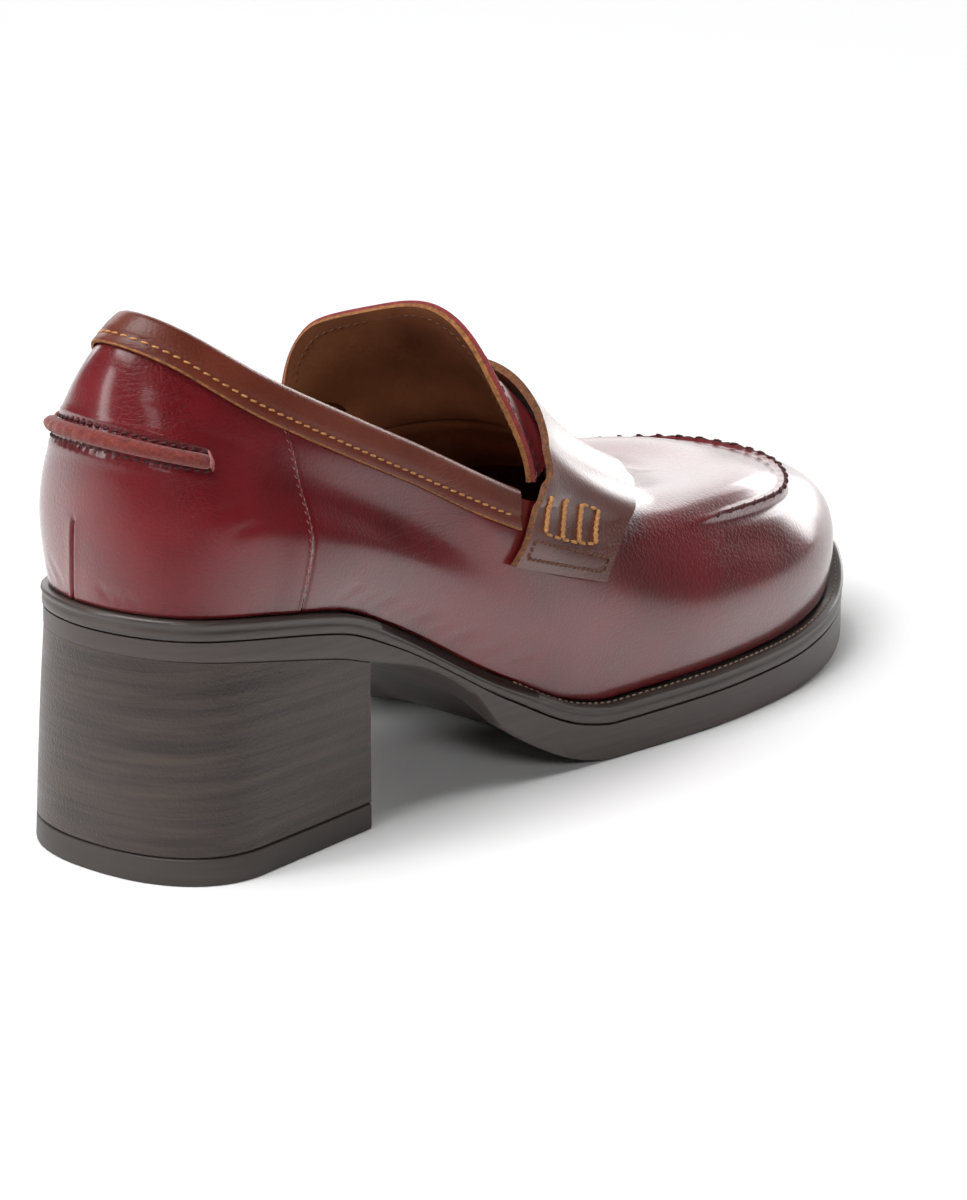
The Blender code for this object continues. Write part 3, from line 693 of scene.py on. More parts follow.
def make_level_streaks():
    """Noise pressed flat in height, so it runs in thin level lines, with a fine crumb on it."""
    group, given, made = new_group("Level streaks", "Lines per metre", "Crumb")
    flat = turned(group, given[0], (0.05, 0.05, 1), (0, 0.05, 0))
    lines = noise(group, flat, given[1], Detail=5.0, Roughness=0.62)
    crumb = math_node(group, "MULTIPLY", noise(group, given[0], 1500.0, Detail=2.0), given[2])
    group.links.new(math_node(group, "ADD", lines, crumb), made[0])
    group.links.new(stretch(group, lines, 0.35, 0.65), made[1])
    return group


def make_fibres():
    """Short crossed fibres of a cut or napped edge: the mean of two stretched noises."""
    group, given, made = new_group("Cut fibres", "Fibres per metre")
    parts = []
    for scale in ((1, 0.3, 0.8), (0.35, 1, 1)):
        place = turned(group, given[0], scale)
        parts.append(noise(group, place, given[1], Detail=6.0, Roughness=0.7))
    both = math_node(group, "MULTIPLY", math_node(group, "ADD", *parts), 0.5)
    group.links.new(both, made[0])
    group.links.new(stretch(group, both, 0.38, 0.62), made[1])
    return group


LEATHER_GRAIN, LEVEL_STREAKS, FIBRES = make_leather_grain(), make_level_streaks(), make_fibres()
# Layer Weight facing between which the polish grows from its face-on to its edge-on weight
POLISH_FACING = (0.06, 0.45)


def finish(name, group, values, dark, light, rough, depth, polish=None, **constants):
    """A surface from a group: its mask mixes two colours and roughnesses, its height bumps.

    Polish is the coat's weight face on and edge on; constants are shader inputs, _ for a space.
    """
    made = bpy.data.materials.new(name)
    made.use_nodes = True
    tree = made.node_tree
    shader = tree.nodes["Principled BSDF"]
    place = node(tree, "ShaderNodeTexCoord").outputs["Object"]
    effect = node(tree, "ShaderNodeGroup", node_tree=group)
    tree.links.new(place, effect.inputs["Place"])
    for socket, value in values.items():
        effect.inputs[socket].default_value = value
    height, mask = effect.outputs
    tones = {"Factor": mask, 6: tone(*dark), 7: tone(*light)}
    colour = node(tree, "ShaderNodeMix", tones, data_type="RGBA")
    tree.links.new(colour.outputs[2], shader.inputs["Base Color"])
    tree.links.new(stretch(tree, mask, 0.0, 1.0, *rough), shader.inputs["Roughness"])
    relief = {"Strength": 1.0, "Distance": depth * MM, "Height": height}
    tree.links.new(node(tree, "ShaderNodeBump", relief).outputs[0], shader.inputs["Normal"])
    if polish:
        facing = node(tree, "ShaderNodeLayerWeight", {"Blend": 0.5}).outputs["Facing"]
        tree.links.new(stretch(tree, facing, *POLISH_FACING, *polish), shader.inputs["Coat Weight"])
    for socket, value in constants.items():
        shader.inputs[socket.replace("_", " ")].default_value = value
    return made


def leather(name, dark, light, rough, pebbles, depth, wrinkles=0.0, **constants):
    """Grained leather."""
    values = {"Pebbles per metre": pebbles, "Wrinkles": wrinkles}
    return finish(name, LEATHER_GRAIN, values, dark, light, rough, depth, **constants)


def fibres(name, dark, light, count, depth, rough=(0.8, 0.95), **constants):
    """Cut edges, suede and thread."""
    return finish(name, FIBRES, {"Fibres per metre": count}, dark, light, rough, depth, **constants)


def cut_edge(name, dark, light):
    """The raw edge of cut leather."""
    return fibres(name, dark, light, count=1400.0, depth=0.12)


def thread(name, dark, light):
    """Sewing thread."""
    return fibres(name, dark, light, count=2600.0, depth=0.08, rough=(0.6, 0.75))


def rubber(name, dark, light, rough, lines, depth, crumb=0.25, **constants):
    """Sole rubber and stacked heel, with level streaks."""
    values = {"Lines per metre": lines, "Crumb": crumb}
    return finish(name, LEVEL_STREAKS, values, dark, light, rough, depth, **constants)


BURGUNDY = leather(
    "Burgundy leather", (88, 12, 18), (114, 20, 28), rough=(0.36, 0.44), pebbles=1250.0, depth=0.2,
    wrinkles=0.4, polish=(0.06, 1.0), Coat_IOR=2.0, Coat_Roughness=0.2, Specular_IOR_Level=0.2,
)
PLUG_EDGE = fibres("Dark plug edge", (48, 16, 16), (90, 40, 32), count=900.0, depth=0.1)
LINING = leather(
    "Brown lining", (90, 47, 27), (140, 84, 50), rough=(0.55, 0.7), pebbles=1100.0, depth=0.08,
    wrinkles=0.8,
)
TONGUE_LOOK = leather(
    "Tongue leather", (116, 30, 36), (140, 48, 54), rough=(0.34, 0.42), pebbles=1250.0, depth=0.11,
    wrinkles=1.2, polish=(0.2, 1.0), Coat_IOR=2.0, Coat_Roughness=0.26, Specular_IOR_Level=0.3,
)
STRAP_LOOK = leather(
    "Strap leather", (82, 35, 27), (110, 55, 43), rough=(0.36, 0.44), pebbles=1250.0, depth=0.11,
    wrinkles=1.0, polish=(0.08, 1.0), Coat_IOR=2.0, Coat_Roughness=0.26, Specular_IOR_Level=0.3,
)
BINDING_LOOK = leather(
    "Brown binding", (88, 35, 22), (114, 51, 34), rough=(0.42, 0.5), pebbles=1150.0, depth=0.12,
    wrinkles=1.0, polish=(0.05, 0.35), Coat_IOR=1.7, Coat_Roughness=0.3, Specular_IOR_Level=0.3,
)
RAW_EDGE = cut_edge("Tan cut edge", (92, 54, 28), (176, 116, 64))
STRAP_EDGE = cut_edge("Brown cut edge", (66, 38, 25), (140, 90, 56))
RED_EDGE = cut_edge("Red cut edge", (96, 26, 30), (150, 58, 58))
SUEDE = fibres(
    "Red suede", (84, 24, 20), (140, 56, 46), count=1500.0, depth=0.25, rough=(0.9, 1.0),
    Sheen_Weight=0.25,
)
SOCK = leather(
    "Sock leather", (104, 66, 40), (142, 96, 60), rough=(0.55, 0.7), pebbles=900.0, depth=0.05
)
SOLE_LOOK = rubber(
    "Sole rubber", (60, 49, 46), (74, 63, 59), rough=(0.4, 0.5), lines=700.0, depth=0.03,
    Coat_Weight=0.1,
)
RIM_LOOK = rubber(
    "Rim rubber", (56, 47, 44), (72, 62, 57), rough=(0.36, 0.46), lines=700.0, depth=0.03,
    Coat_Weight=0.15,
)
WAIST_LOOK = leather(
    "Dark waist bevel", (30, 19, 16), (46, 31, 26), rough=(0.45, 0.55), pebbles=1500.0, depth=0.05,
    Specular_IOR_Level=0.2,
)
HEEL_LOOK = rubber(
    "Stacked heel", (44, 34, 30), (70, 58, 52), rough=(0.34, 0.46), lines=520.0, depth=0.2,
    crumb=0.9, Specular_IOR_Level=0.4, Coat_Weight=0.12,
)
LIFT_LOOK = rubber(
    "Heel lift", (48, 40, 37), (62, 53, 49), rough=(0.45, 0.55), lines=300.0, depth=0.03
)
TAN_THREAD = thread("Tan thread", (150, 94, 48), (210, 152, 92))
BROWN_THREAD = thread("Brown thread", (70, 40, 30), (116, 72, 50))
DARK_THREAD = thread("Dark red thread", (44, 12, 16), (84, 26, 30))
ROSE_THREAD = thread("Rose thread", (112, 44, 46), (180, 116, 112))
PALE_THREAD = thread("Pale thread", (120, 98, 78), (176, 156, 134))


# Upper: one shell, burgundy outside and brown inside
def make_upper():
    """Skin plus relief outside, skin moved in by the wall inside; both meet at rim and topline.

    Columns crowd at the counter seams and the dart, rows at the plug's seam.
    """
    counter = np.radians(np.linspace(44.2, 49.4, 34))
    dart = np.radians(np.linspace(0.5, 8.5, 34))
    whole = 2 * math.pi
    angle = np.unique(
        np.concatenate(
            [np.linspace(0, whole, 430)[:-1], counter, whole - counter, whole - dart]
        )
    )
    up = np.concatenate(
        [
            np.linspace(0, 0.47, 50),
            np.linspace(0.473, 0.499, 15),
            np.linspace(0.5, 0.53, 22),
            np.linspace(0.538, 1, 48),
        ]
    )
    across, rows = np.meshgrid(angle, up)
    relief = upper_relief(across, rows)
    outside = upper_at(across, rows) + upper_out(across, rows) * relief[..., None]
    across, rows = np.meshgrid(angle, np.linspace(1, 0, 22))
    inside = upper_at(across, rows) - upper_out(across, rows) * WALL
    points = np.concatenate([outside, inside])
    faces = grid_faces(numbered(*points.shape[:2]), round_rows=True, round_columns=True)
    across, rows = np.meshgrid(angle, (up[1:] + up[:-1]) / 2)
    seam, forepart = plug_seam(across, rows)
    looks = np.where((np.abs(seam) < 0.5) & (forepart > 0.5), 2, 0)
    lining = np.ones((len(points) - len(looks), len(angle)), int)
    add_piece(
        "upper_leather", "upper", points, [faces], [BURGUNDY, LINING, PLUG_EDGE],
        np.concatenate([looks, lining]).ravel(),
    )


def on_skin(angle, up, proud=0.0):
    """Points of the finished leather and the way out there, for seams laid on it."""
    out = upper_out(angle, up)
    return upper_at(angle, up) + out * (upper_relief(angle, up) + proud)[..., None], out


def make_upper_stitches():
    """Rows of thread along the seams: counter, dart, plug and inner side."""
    up = np.linspace(0.02, 0.93, 120)
    rows = []
    for side in (1, -1):
        for shift, slant in ((-0.006, 0.25), (0.004, -0.25)):
            angle = side * np.interp(up, COUNTER_UP, COUNTER_ANGLE) + shift
            rows.append(even_steps(*on_skin(angle, up), pitch=2.0, length=0.9, slant=slant))
    add_stitches("counter_stitches", "upper", rows, radius=0.12, look=ROSE_THREAD)
    up = np.linspace(0.01, 0.235, 60)
    angle = np.interp(up, DART_UP, DART_ANGLE)
    row = even_steps(*on_skin(angle, up, -0.1), pitch=1.7, length=1.3, slant=0.3)
    add_stitches("dart_stitches", "upper", [row], radius=0.3, look=DARK_THREAD)
    angle = np.linspace(math.pi - 1.15, math.pi + 1.15, 500)
    rows = []
    for share in (0.4985, 0.501):
        path, out = on_skin(angle, np.full_like(angle, share))
        rows.append(even_steps(path, out, SEAM_PITCH, length=1.8, slant=0.45))
    add_stitches("plug_stitches", "upper", rows, radius=0.3, look=DARK_THREAD)
    up = np.linspace(0.02, 0.58, 120)
    angle = np.interp(up, INNER_SEAM_UP, INNER_SEAM_ANGLE) + 0.028
    row = even_steps(*on_skin(angle, up), pitch=2.4, length=1.6)
    add_stitches("inner_seam_stitches", "upper", [row], radius=0.22, look=DARK_THREAD)


# Heel strip and the rows that hold it
def make_heel_strip():
    """A half-round bar carried along the strip's line and drawn in at its two ends."""
    angle = np.linspace(-STRIP_REACH, STRIP_REACH, 90)
    share = strip_share(angle)
    place, out = upper_at(angle, share), upper_out(angle, share)
    rise = unit(upper_at(angle, share + 0.02) - upper_at(angle, share - 0.02))
    turn = np.linspace(-0.15 * math.pi, 1.15 * math.pi, 15)
    walked = walk(place)
    from_end = np.minimum(walked, walked[-1] - walked)
    draw = np.sqrt(np.clip(from_end / 1.3 + 0.25, 0, 1))[:, None, None]
    wave = (1 + 0.05 * np.sin(walked * 1.9) + 0.04 * np.sin(walked * 4.3 + 1))[:, None, None]
    proud = np.clip(np.sin(turn), -0.1, 1)[:, None] * STRIP_PROUD * draw * wave + 0.15
    sections = (
        place[:, None]
        + rise[:, None] * np.cos(turn)[:, None] * (STRIP_WIDTH / 2) * draw
        + out[:, None] * proud
    )
    swept("suede_strip", "heel_strip", sections, [SUEDE])
    rows = []
    for shift in (STRIP_ROW / BACK_UP, -STRIP_ROW / BACK_UP):
        path, way = on_skin(angle, share + shift, 0.1)
        rows.append(even_steps(path, way, STRIP_PITCH, length=1.7, slant=0.25))
    add_stitches("strip_stitches", "heel_strip", rows, radius=0.32, look=DARK_THREAD)
    ends = []
    span = share[0] + np.array([-2.6, 2.6]) / BACK_UP
    for side in (-1, 1):
        for step, height in ((0.0, 0.5), (0.022, 2.2)):
            path, way = on_skin(np.full(2, side * (STRIP_REACH + 0.006 - step)), span, 0.1)
            path = path + way * height
            ends.append((path[:1], path[1:], way[:1]))
    add_stitches("strip_end_stitches", "heel_strip", ends, radius=0.35, look=ROSE_THREAD, lift=1.5)


# Collar binding: angle of its ends, depths outside and inside, skin and stitch line in mm
BINDING_END, BINDING_DEPTH, BINDING_INSIDE, BINDING_SKIN = math.radians(86), 7.4, 6.0, 0.8
STITCH_LINE = 4.9


def binding_line(distance, angle):
    """Place a distance under the topline, square to it in the skin, and the way out there."""
    one = np.ones_like(angle)
    top = upper_at(angle, one)
    by_angle = (upper_at(angle + 1e-3, one) - upper_at(angle - 1e-3, one)) / 2e-3
    by_up = (top - upper_at(angle, 0.95 * one)) / 0.05
    slide = (by_up * by_angle).sum(axis=-1) / (by_angle**2).sum(axis=-1)
    drop = distance / np.linalg.norm(by_up - slide[:, None] * by_angle, axis=-1)
    for _ in range(4):
        place = upper_at(angle + slide * drop, 1 - drop)
        drop = drop * (distance + 1e-6) / (np.linalg.norm(place - top, axis=-1) + 1e-6)
    return place, upper_out(angle + slide * drop, 1 - drop)


def make_binding():
    """A turned-over band: a U section with a rounded top and a cut lower edge, round the collar."""
    angle = np.linspace(-BINDING_END, BINDING_END, 460)
    near, far = 1.5 * GAP, 1.5 * GAP + BINDING_SKIN
    behind = WALL + near
    mid, mid_out = binding_line(4, angle)
    edge, edge_out = binding_line(0, angle)
    rise = unit(edge - mid)
    profile = []
    for distance, proud in (
        (BINDING_DEPTH, near), (BINDING_DEPTH, far - 0.15), (BINDING_DEPTH - 0.25, far),
        (STITCH_LINE + 0.8, far + 0.05), (STITCH_LINE, far - 0.28),
        (STITCH_LINE - 0.8, far + 0.05), (3.0, far + 0.15), (1.8, far + 0.15), (0.8, far + 0.05),
    ):
        place, out = binding_line(distance, angle)
        profile.append(place + out * proud)
    middle, wide = edge - edge_out * (WALL / 2), WALL / 2 + far
    for turn in np.linspace(0, math.pi, 9):
        profile.append(middle + edge_out * wide * math.cos(turn) + rise * 2.0 * math.sin(turn))
    inner, inner_out = binding_line(BINDING_INSIDE, angle)
    profile += [
        inner - inner_out * (behind + BINDING_SKIN),
        inner - inner_out * behind,
        edge - edge_out * behind + rise * near,
        edge + edge_out * near + rise * near,
        mid + mid_out * near,
    ]
    looks = np.where(np.arange(len(profile)) < 2, 1, 0)
    sections = np.stack(profile, axis=1)
    swept("bound_collar", "collar_binding", sections, [BINDING_LOOK, RAW_EDGE], looks, sharp=55)
    place, out = binding_line(STITCH_LINE, angle[4:-4])
    row = even_steps(place + out * (far - 0.15), out, pitch=2.5, length=1.8, slant=0.16)
    add_stitches("binding_stitches", "collar_binding", [row], radius=0.27, look=TAN_THREAD)


# Tongue: burgundy outside, brown lining inside, both cut raw at the rim; the seam is inside that
TONGUE_SEAM = 2.6


def tongue_row(share, proud):
    """A seam's line a set distance inside the tongue's rim, on one of its faces."""
    top = np.ones_like(share)
    pace = np.linalg.norm(tongue_at(share, top) - tongue_at(share, top - 0.02), axis=-1) / 0.02
    spread = np.clip(1 - np.abs(share), 0, 1) * 20 + 0.6
    height = 1 - TONGUE_SEAM * np.minimum(1, spread) / pace
    path = tongue_at(share, height)
    before, after = np.clip(share - 0.01, -1, 1), np.clip(share + 0.01, -1, 1)
    sideways = tongue_at(after, height) - tongue_at(before, height)
    way = unit(np.cross(sideways, path - tongue_at(share, height - 0.02)))
    return path + way * proud, way


def make_tongue():
    """Two sheets on one grid, gently rippled towards the rim, with a seam on either face."""
    side, up = np.meshgrid(np.linspace(-1, 1, 161), np.linspace(0, 1, 60))
    skin = tongue_at(side, up)
    out = unit(np.cross(np.gradient(skin, axis=1), np.gradient(skin, axis=0)))
    ripple = 0.25 * np.sin(side * 9 + up * 3) * up**2
    skin = skin + out * ripple[..., None]
    faces = grid_faces(numbered(*side.shape))
    half = SHEET / 2
    for name, points, looks in (
        ("tongue_leather", skin, [TONGUE_LOOK, RED_EDGE, RED_EDGE]),
        ("tongue_lining", skin - out * half, [RAW_EDGE, LINING, RAW_EDGE]),
    ):
        thicken(add_piece(name, "tongue", points, [faces], looks, closed=False), half, -1)
    share = np.linspace(-0.97, 0.97, 260)
    path, way = tongue_row(share, -SHEET - 0.05)
    row = even_steps(path, -way, pitch=2.0, length=1.3, slant=0.12)
    add_stitches("tongue_inner_stitches", "tongue", [row], radius=0.2, look=BROWN_THREAD)
    row = even_steps(*tongue_row(share, 0.08), pitch=2.6, length=1.9)
    add_stitches("tongue_outer_stitches", "tongue", [row], radius=0.26, look=DARK_THREAD)


# Saddle strap, with its slot and the sewn ends: shares to the side and across
SLOT_HALF_SIDE, SLOT_HALF_ACROSS, SLOT_ACROSS = 0.185, 0.07, 0.5
# Folds: share to the side, lean, width and height in mm
STRAP_FOLDS = (
    (-0.46, 0.10, 0.05, 0.55), (-0.34, 0.16, 0.06, 0.5), (0.40, -0.14, 0.06, 0.5),
    (0.52, -0.1, 0.05, 0.4),
)
# Lines sewn on the outer end, from one share to the side and across to another
CORD_BARS = (
    (-0.70, 0.05, -0.875, 0.14), (-0.705, 0.24, -0.88, 0.35), (-0.70, 0.44, -0.88, 0.55),
    (-0.69, 0.63, -0.87, 0.74),
)
CORD_LINKS = (
    (-0.875, 0.14, -0.88, 0.35), (-0.88, 0.35, -0.88, 0.55), (-0.88, 0.55, -0.87, 0.74),
    (-0.70, 0.44, -0.69, 0.63),
)
END_BOX = (
    (-0.905, 0.07, -0.915, 0.94), (-0.965, 0.06, -0.972, 0.94), (-0.905, 0.07, -0.965, 0.06),
    (-0.915, 0.94, -0.972, 0.94),
)


def strap_folds(side, across):
    """Soft folds in mm where the strap bends over the instep."""
    swell = sum(
        height * hump(side - place - lean * (across - 0.5), width)
        for place, lean, width, height in STRAP_FOLDS
    )
    return swell * (0.35 + 0.65 * ease(across, 0.05, 0.6))


def strap_surface(side, across, proud):
    """A place over the strap's inside, and the way out there, by small steps both ways."""
    def skin(s, a):
        """The strap's inside, held to its edges."""
        return strap_at(np.clip(s, -1, 1), np.clip(a, 0, 1))

    by_side = skin(side + 0.004, across) - skin(side - 0.004, across)
    by_across = skin(side, across + 0.01) - skin(side, across - 0.01)
    out = unit(np.cross(by_across, by_side))
    return strap_at(side, across) + out * (proud + strap_folds(side, across))[..., None], out


def strap_lines(table):
    """Paths over the strap's outside for a table of lines, on the outer end and mirrored."""
    share = np.linspace(0, 1, 40)
    for mirror in (1, -1):
        for side, across, to_side, to_across in table:
            s = mirror * side + mirror * (to_side - side) * share
            a = across + (to_across - across) * share
            yield strap_surface(s, a, STRAP_THICKNESS + 0.05)


def make_strap():
    """Grid with a lens-shaped slot: rows part about its middle line and meet beyond its ends."""
    side, half = np.linspace(-1, 1, 281), 20
    gap = SLOT_HALF_ACROSS * np.sqrt(np.clip(1 - (side / SLOT_HALF_SIDE) ** 2, 0, 1))
    share = np.linspace(0, 1, half)
    rear = share * (SLOT_ACROSS - gap[:, None])
    front = SLOT_ACROSS + gap[:, None] + share * (1 - SLOT_ACROSS - gap[:, None])
    across = np.concatenate([rear, front], axis=1)
    points, _ = strap_surface(np.broadcast_to(side[:, None], across.shape), across, 0.0)
    ids = numbered(*across.shape)
    ids[gap <= 0, half] = ids[gap <= 0, half - 1]
    faces = [grid_faces(ids[:, :half]), grid_faces(ids[:, half:])]
    looks = [STRAP_LOOK, LINING, STRAP_EDGE]
    strap = add_piece("strap_leather", "saddle_strap", points, faces, looks, closed=False)
    thicken(strap, STRAP_THICKNESS, 1, 0.3)
    bars = [(path + out * 0.25, out) for path, out in strap_lines(CORD_BARS)]
    add_cords("strap_cords", "saddle_strap", bars, radius=0.52, look=TAN_THREAD)
    rows = [even_steps(*line, pitch=2.6, length=2.2) for line in strap_lines(CORD_LINKS)]
    add_stitches("strap_links", "saddle_strap", rows, radius=0.4, look=TAN_THREAD)
    rows = [even_steps(*line, pitch=1.5, length=1.25, slant=0.22) for line in strap_lines(END_BOX)]
    add_stitches("strap_end_stitches", "saddle_strap", rows, radius=0.33, look=BROWN_THREAD)


# Sole: rim band, outsole, sock, heel and lift
UPWARDS = np.array([0.0, 0.0, 1.0])
WAIST_FROM, WAIST_TO = 58.0, 106.0
# Rim band's section: mm out from the sole's edge and up from the rim, then both cuts at the waist
RIM_SECTION = (
    (-7.0, -4.2, 0, 0), (-1.0, -4.4, 0, 0), (-0.3, -4.35, 0, 0), (-0.05, -4.1, 0, 0),
    (0.0, -3.2, 0, 0), (-0.05, -2.3, 0, 0.6), (-0.32, -1.8, 0, 0.9), (0.0, -1.4, 0.1, 1.1),
    (0.22, -0.85, 0.5, 1.3), (0.12, -0.3, 1.5, 0.9), (-0.45, 0.02, 1.9, 0.4),
    (-1.3, 0.0, 1.5, 0.1), (-2.6, -0.12, 0.4, 0), (-7.0, -0.2, 0, 0),
)
# Rows of that section which are dark at the waist
BEVEL_ROWS = (7, 12)
# Welt stitches run forward from an x, this far inside the edge
WELT_FROM, WELT_IN = 98.0, 1.55
# Tread ribs: pitch and depth, and the ranges of x that fade them in and out
RIB_PITCH, RIB_DEPTH, RIB_FROM, RIB_TO = 5.5, 0.7, (126, 132), (226, 220)


def groove_height(x):
    """Height of the groove line between midsole and outsole."""
    return rim_height(x) - MIDSOLE


def tread_height(x, column):
    """Height of the outsole's under face, at its edge in column 1 and its middle in column 2."""
    return groove_height(x) - GAP - along(OUTSOLE_DEPTH, column, x)


def waist_bevel(x):
    """How far the rim's outer corner is cut away at the waist: a lens along x."""
    middle, half = (WAIST_FROM + WAIST_TO) / 2, (WAIST_TO - WAIST_FROM) / 2
    return np.clip(1 - ((x - middle) / half) ** 2, 0, 1) ** 0.8


def make_midsole():
    """A closed section with a rounded bead at its lip, carried round the sole's plan."""
    angle = np.linspace(0, 2 * math.pi, 521)[:-1]
    x = sole_edge(angle)[:, 0]
    rim, cut = rim_height(x), waist_bevel(x)
    rings = np.stack(
        [
            raised(sole_plan(angle, out - draw * cut), rim + drop - lower * cut)
            for out, drop, draw, lower in RIM_SECTION
        ]
    )
    faces = grid_faces(numbered(*rings.shape[:2]), round_rows=True, round_columns=True)
    rows = np.arange(len(rings))[:, None]
    looks = np.where((rows >= BEVEL_ROWS[0]) & (rows < BEVEL_ROWS[1]) & (cut > 0.1), 1, 0)
    add_piece("rim_band", "midsole", rings, [faces], [RIM_LOOK, WAIST_LOOK], looks.ravel())
    plan = sole_plan(np.radians(np.linspace(80, 280, 600)), -WELT_IN)
    plan = plan[plan[:, 0] > WELT_FROM]
    x = plan[:, 0]
    path = raised(plan, rim_height(x) + 0.05 - 0.05 * waist_bevel(x))
    row = even_steps(path, np.broadcast_to(UPWARDS, path.shape), pitch=1.9, length=1.25)
    add_stitches("welt_stitches", "midsole", [row], radius=0.24, look=PALE_THREAD)


def make_outsole():
    """Sections from back to toe: flat top, upright sides, an under face that scoops at the arch."""
    angle = np.linspace(0, math.pi, 361)
    outer, inner = sole_plan(angle, -0.25), sole_plan(-angle, -0.25)
    x = outer[:, 0]
    groove, edge, middle = groove_height(x) - 0.12, tread_height(x, 1), tread_height(x, 2)
    share = np.concatenate([[0, 0.006, 0.02], np.linspace(0.05, 0.95, 45), [0.98, 0.994, 1]])
    corner = 0.5
    lift = np.where((share < 0.003) | (share > 0.997), corner, 0.0)
    from_side = np.minimum(share, 1 - share)
    scoop, field = ease(from_side, 0.02, 0.24), ease(from_side, 0.09, 0.12)
    ribs = RIB_DEPTH * ease(np.cos(x * 2 * math.pi / RIB_PITCH), 0.2, 0.7)
    ribs = ribs * ease(x, *RIB_FROM) * ease(x, *RIB_TO)
    low = edge[:, None] + (middle - edge)[:, None] * scoop + ribs[:, None] * field + lift
    under = raised(outer[:, None] * (1 - share[:, None]) + inner[:, None] * share[:, None], low)
    inner_side, outer_side = (
        [raised(plan, edge + corner + (groove - edge - corner) * t) for t in (0.35, 0.7, 0.96)]
        for plan in (inner, outer)
    )
    top = [raised(sole_plan(turn, -1.2), groove) for turn in (-angle, angle)]
    over = np.stack([*inner_side, *top, *outer_side[::-1]], axis=1)
    loop = np.concatenate([under, over], axis=1)
    faces = grid_faces(numbered(*loop.shape[:2]), round_columns=True)
    add_piece("outsole_rubber", "outsole", loop, [faces], [SOLE_LOOK], sharp=40)


def make_sock():
    """A thin padded sole inside: rings drawn in, then filled towards the foot's middle line."""
    angle = np.linspace(0, 2 * math.pi, 241)[:-1]
    base = -(around(*[SOLE_STATIONS[:, 2]] * 2, angle) + WALL + 2 * GAP)
    rings = []
    for draw, height in ((0.6, 0.3), (0.0, 0.6), (0.0, 2.0), (0.5, 2.6), (2.5, 2.75), (6, 2.8)):
        plan = sole_plan(angle, base - draw)
        rings.append(raised(plan, rim_height(plan[:, 0]) + height))
    mirror = -np.arange(len(angle)) % len(angle)

    def towards(ring, share):
        """A ring moved towards its own mirror image, at its own heights."""
        return ring * (1 - share) + raised(ring[mirror][:, :2], ring[:, 2]) * share

    below = [towards(rings[0], share) for share in (0.5, 0.25)]
    above = [towards(rings[-1], share) for share in np.linspace(0, 0.5, 8)[1:]]
    points = np.stack([*below, *rings, *above])
    faces = grid_faces(numbered(*points.shape[:2]), round_columns=True)
    add_piece("sock_leather", "insole", points, [faces], [SOCK])
    path = rings[-2] + UPWARDS * 0.05
    row = even_steps(path, np.broadcast_to(UPWARDS, path.shape), pitch=3.2, length=2.2)
    add_stitches("sock_stitches", "insole", [row], radius=0.25, look=TAN_THREAD)


def heel_plan(share):
    """The heel's plan: share 0 flush under the sole, 1 a squarer foot; its breast is straight."""
    count, bent = 150, 0.6
    turn = math.acos(1 - 2 * BREAST_TOP / LENGTH)
    seat = sole_plan(np.linspace(turn, -turn, count), -0.3)
    side = np.linspace(1, -1, count)
    run = BREAST_FOOT - HEEL_BACK - HEEL_ROUND
    bend = np.clip(np.abs(side) / bent, 0, 1) * math.pi / 2
    x = HEEL_BACK + HEEL_ROUND * (1 - np.cos(bend) ** (2 / HEEL_SQUARENESS))
    y = HEEL_HALF_WIDTH * np.sin(bend) ** (2 / HEEL_SQUARENESS)
    straight = np.clip((np.abs(side) - bent) / (1 - bent), 0, 1)
    y = -np.sign(side) * y * (1 - HEEL_TAPER * straight)
    foot = np.stack([x + run * straight, y], axis=-1)
    back = seat * (1 - share) + foot * share
    part = np.linspace(0, 1, 42)[1:-1, None]
    return np.concatenate([back, back[-1] * (1 - part) + back[0] * part])


def inset(plan, distance):
    """A closed plan moved square inwards."""
    after = np.roll(plan, -1, axis=0)
    ahead = unit(after - np.roll(plan, 1, axis=0))
    area = np.sum(plan[:, 0] * after[:, 1] - after[:, 0] * plan[:, 1])
    left = np.stack([-ahead[:, 1], ahead[:, 0]], axis=-1)
    return plan + left * distance * np.sign(area)


def make_heel():
    """Rings from the lift up to the seat, widening from the squarer foot to the sole's own plan.

    The foot's share falls from 0.9 to 0, faster towards the seat.
    """
    seam = LIFT + 0.1
    rings = []
    for t in np.linspace(0, 1, 40):
        plan = heel_plan(0.9 - 0.567 * t - 0.333 * t * t)
        top = tread_height(plan[:, 0], 1) - 0.04
        rings.append(raised(plan, seam + (top - seam) * t))
    first, last = rings[0], rings[-1]
    low = raised(inset(first[:, :2], 0.45), first[:, 2])
    high = raised(inset(last[:, :2], 2.0), last[:, 2])
    rings[0] = first + UPWARDS * 0.35
    stacked("heel_stack", "heel_block", np.stack([low, *rings, high]), HEEL_LOOK)
    rings = [
        raised(inset(heel_plan(share), draw), z)
        for share, draw, z in (
            (0.98, 0.6, 0.0), (0.98, 0.15, 0.15), (1.0, 0.0, 0.8), (0.95, 0.0, 3.5),
            (0.91, 0.0, LIFT - 0.3), (0.91, 0.35, LIFT),
        )
    ]
    stacked("heel_lift", "top_lift", np.stack(rings), LIFT_LOOK)


# Floor, light and camera
FLOOR_HALF, FLOOR_TONE = 6.0, (0.95, 0.95, 0.95, 1)
AIR_AS_LIGHT, AIR_AS_SEEN = 0.05, 1.0
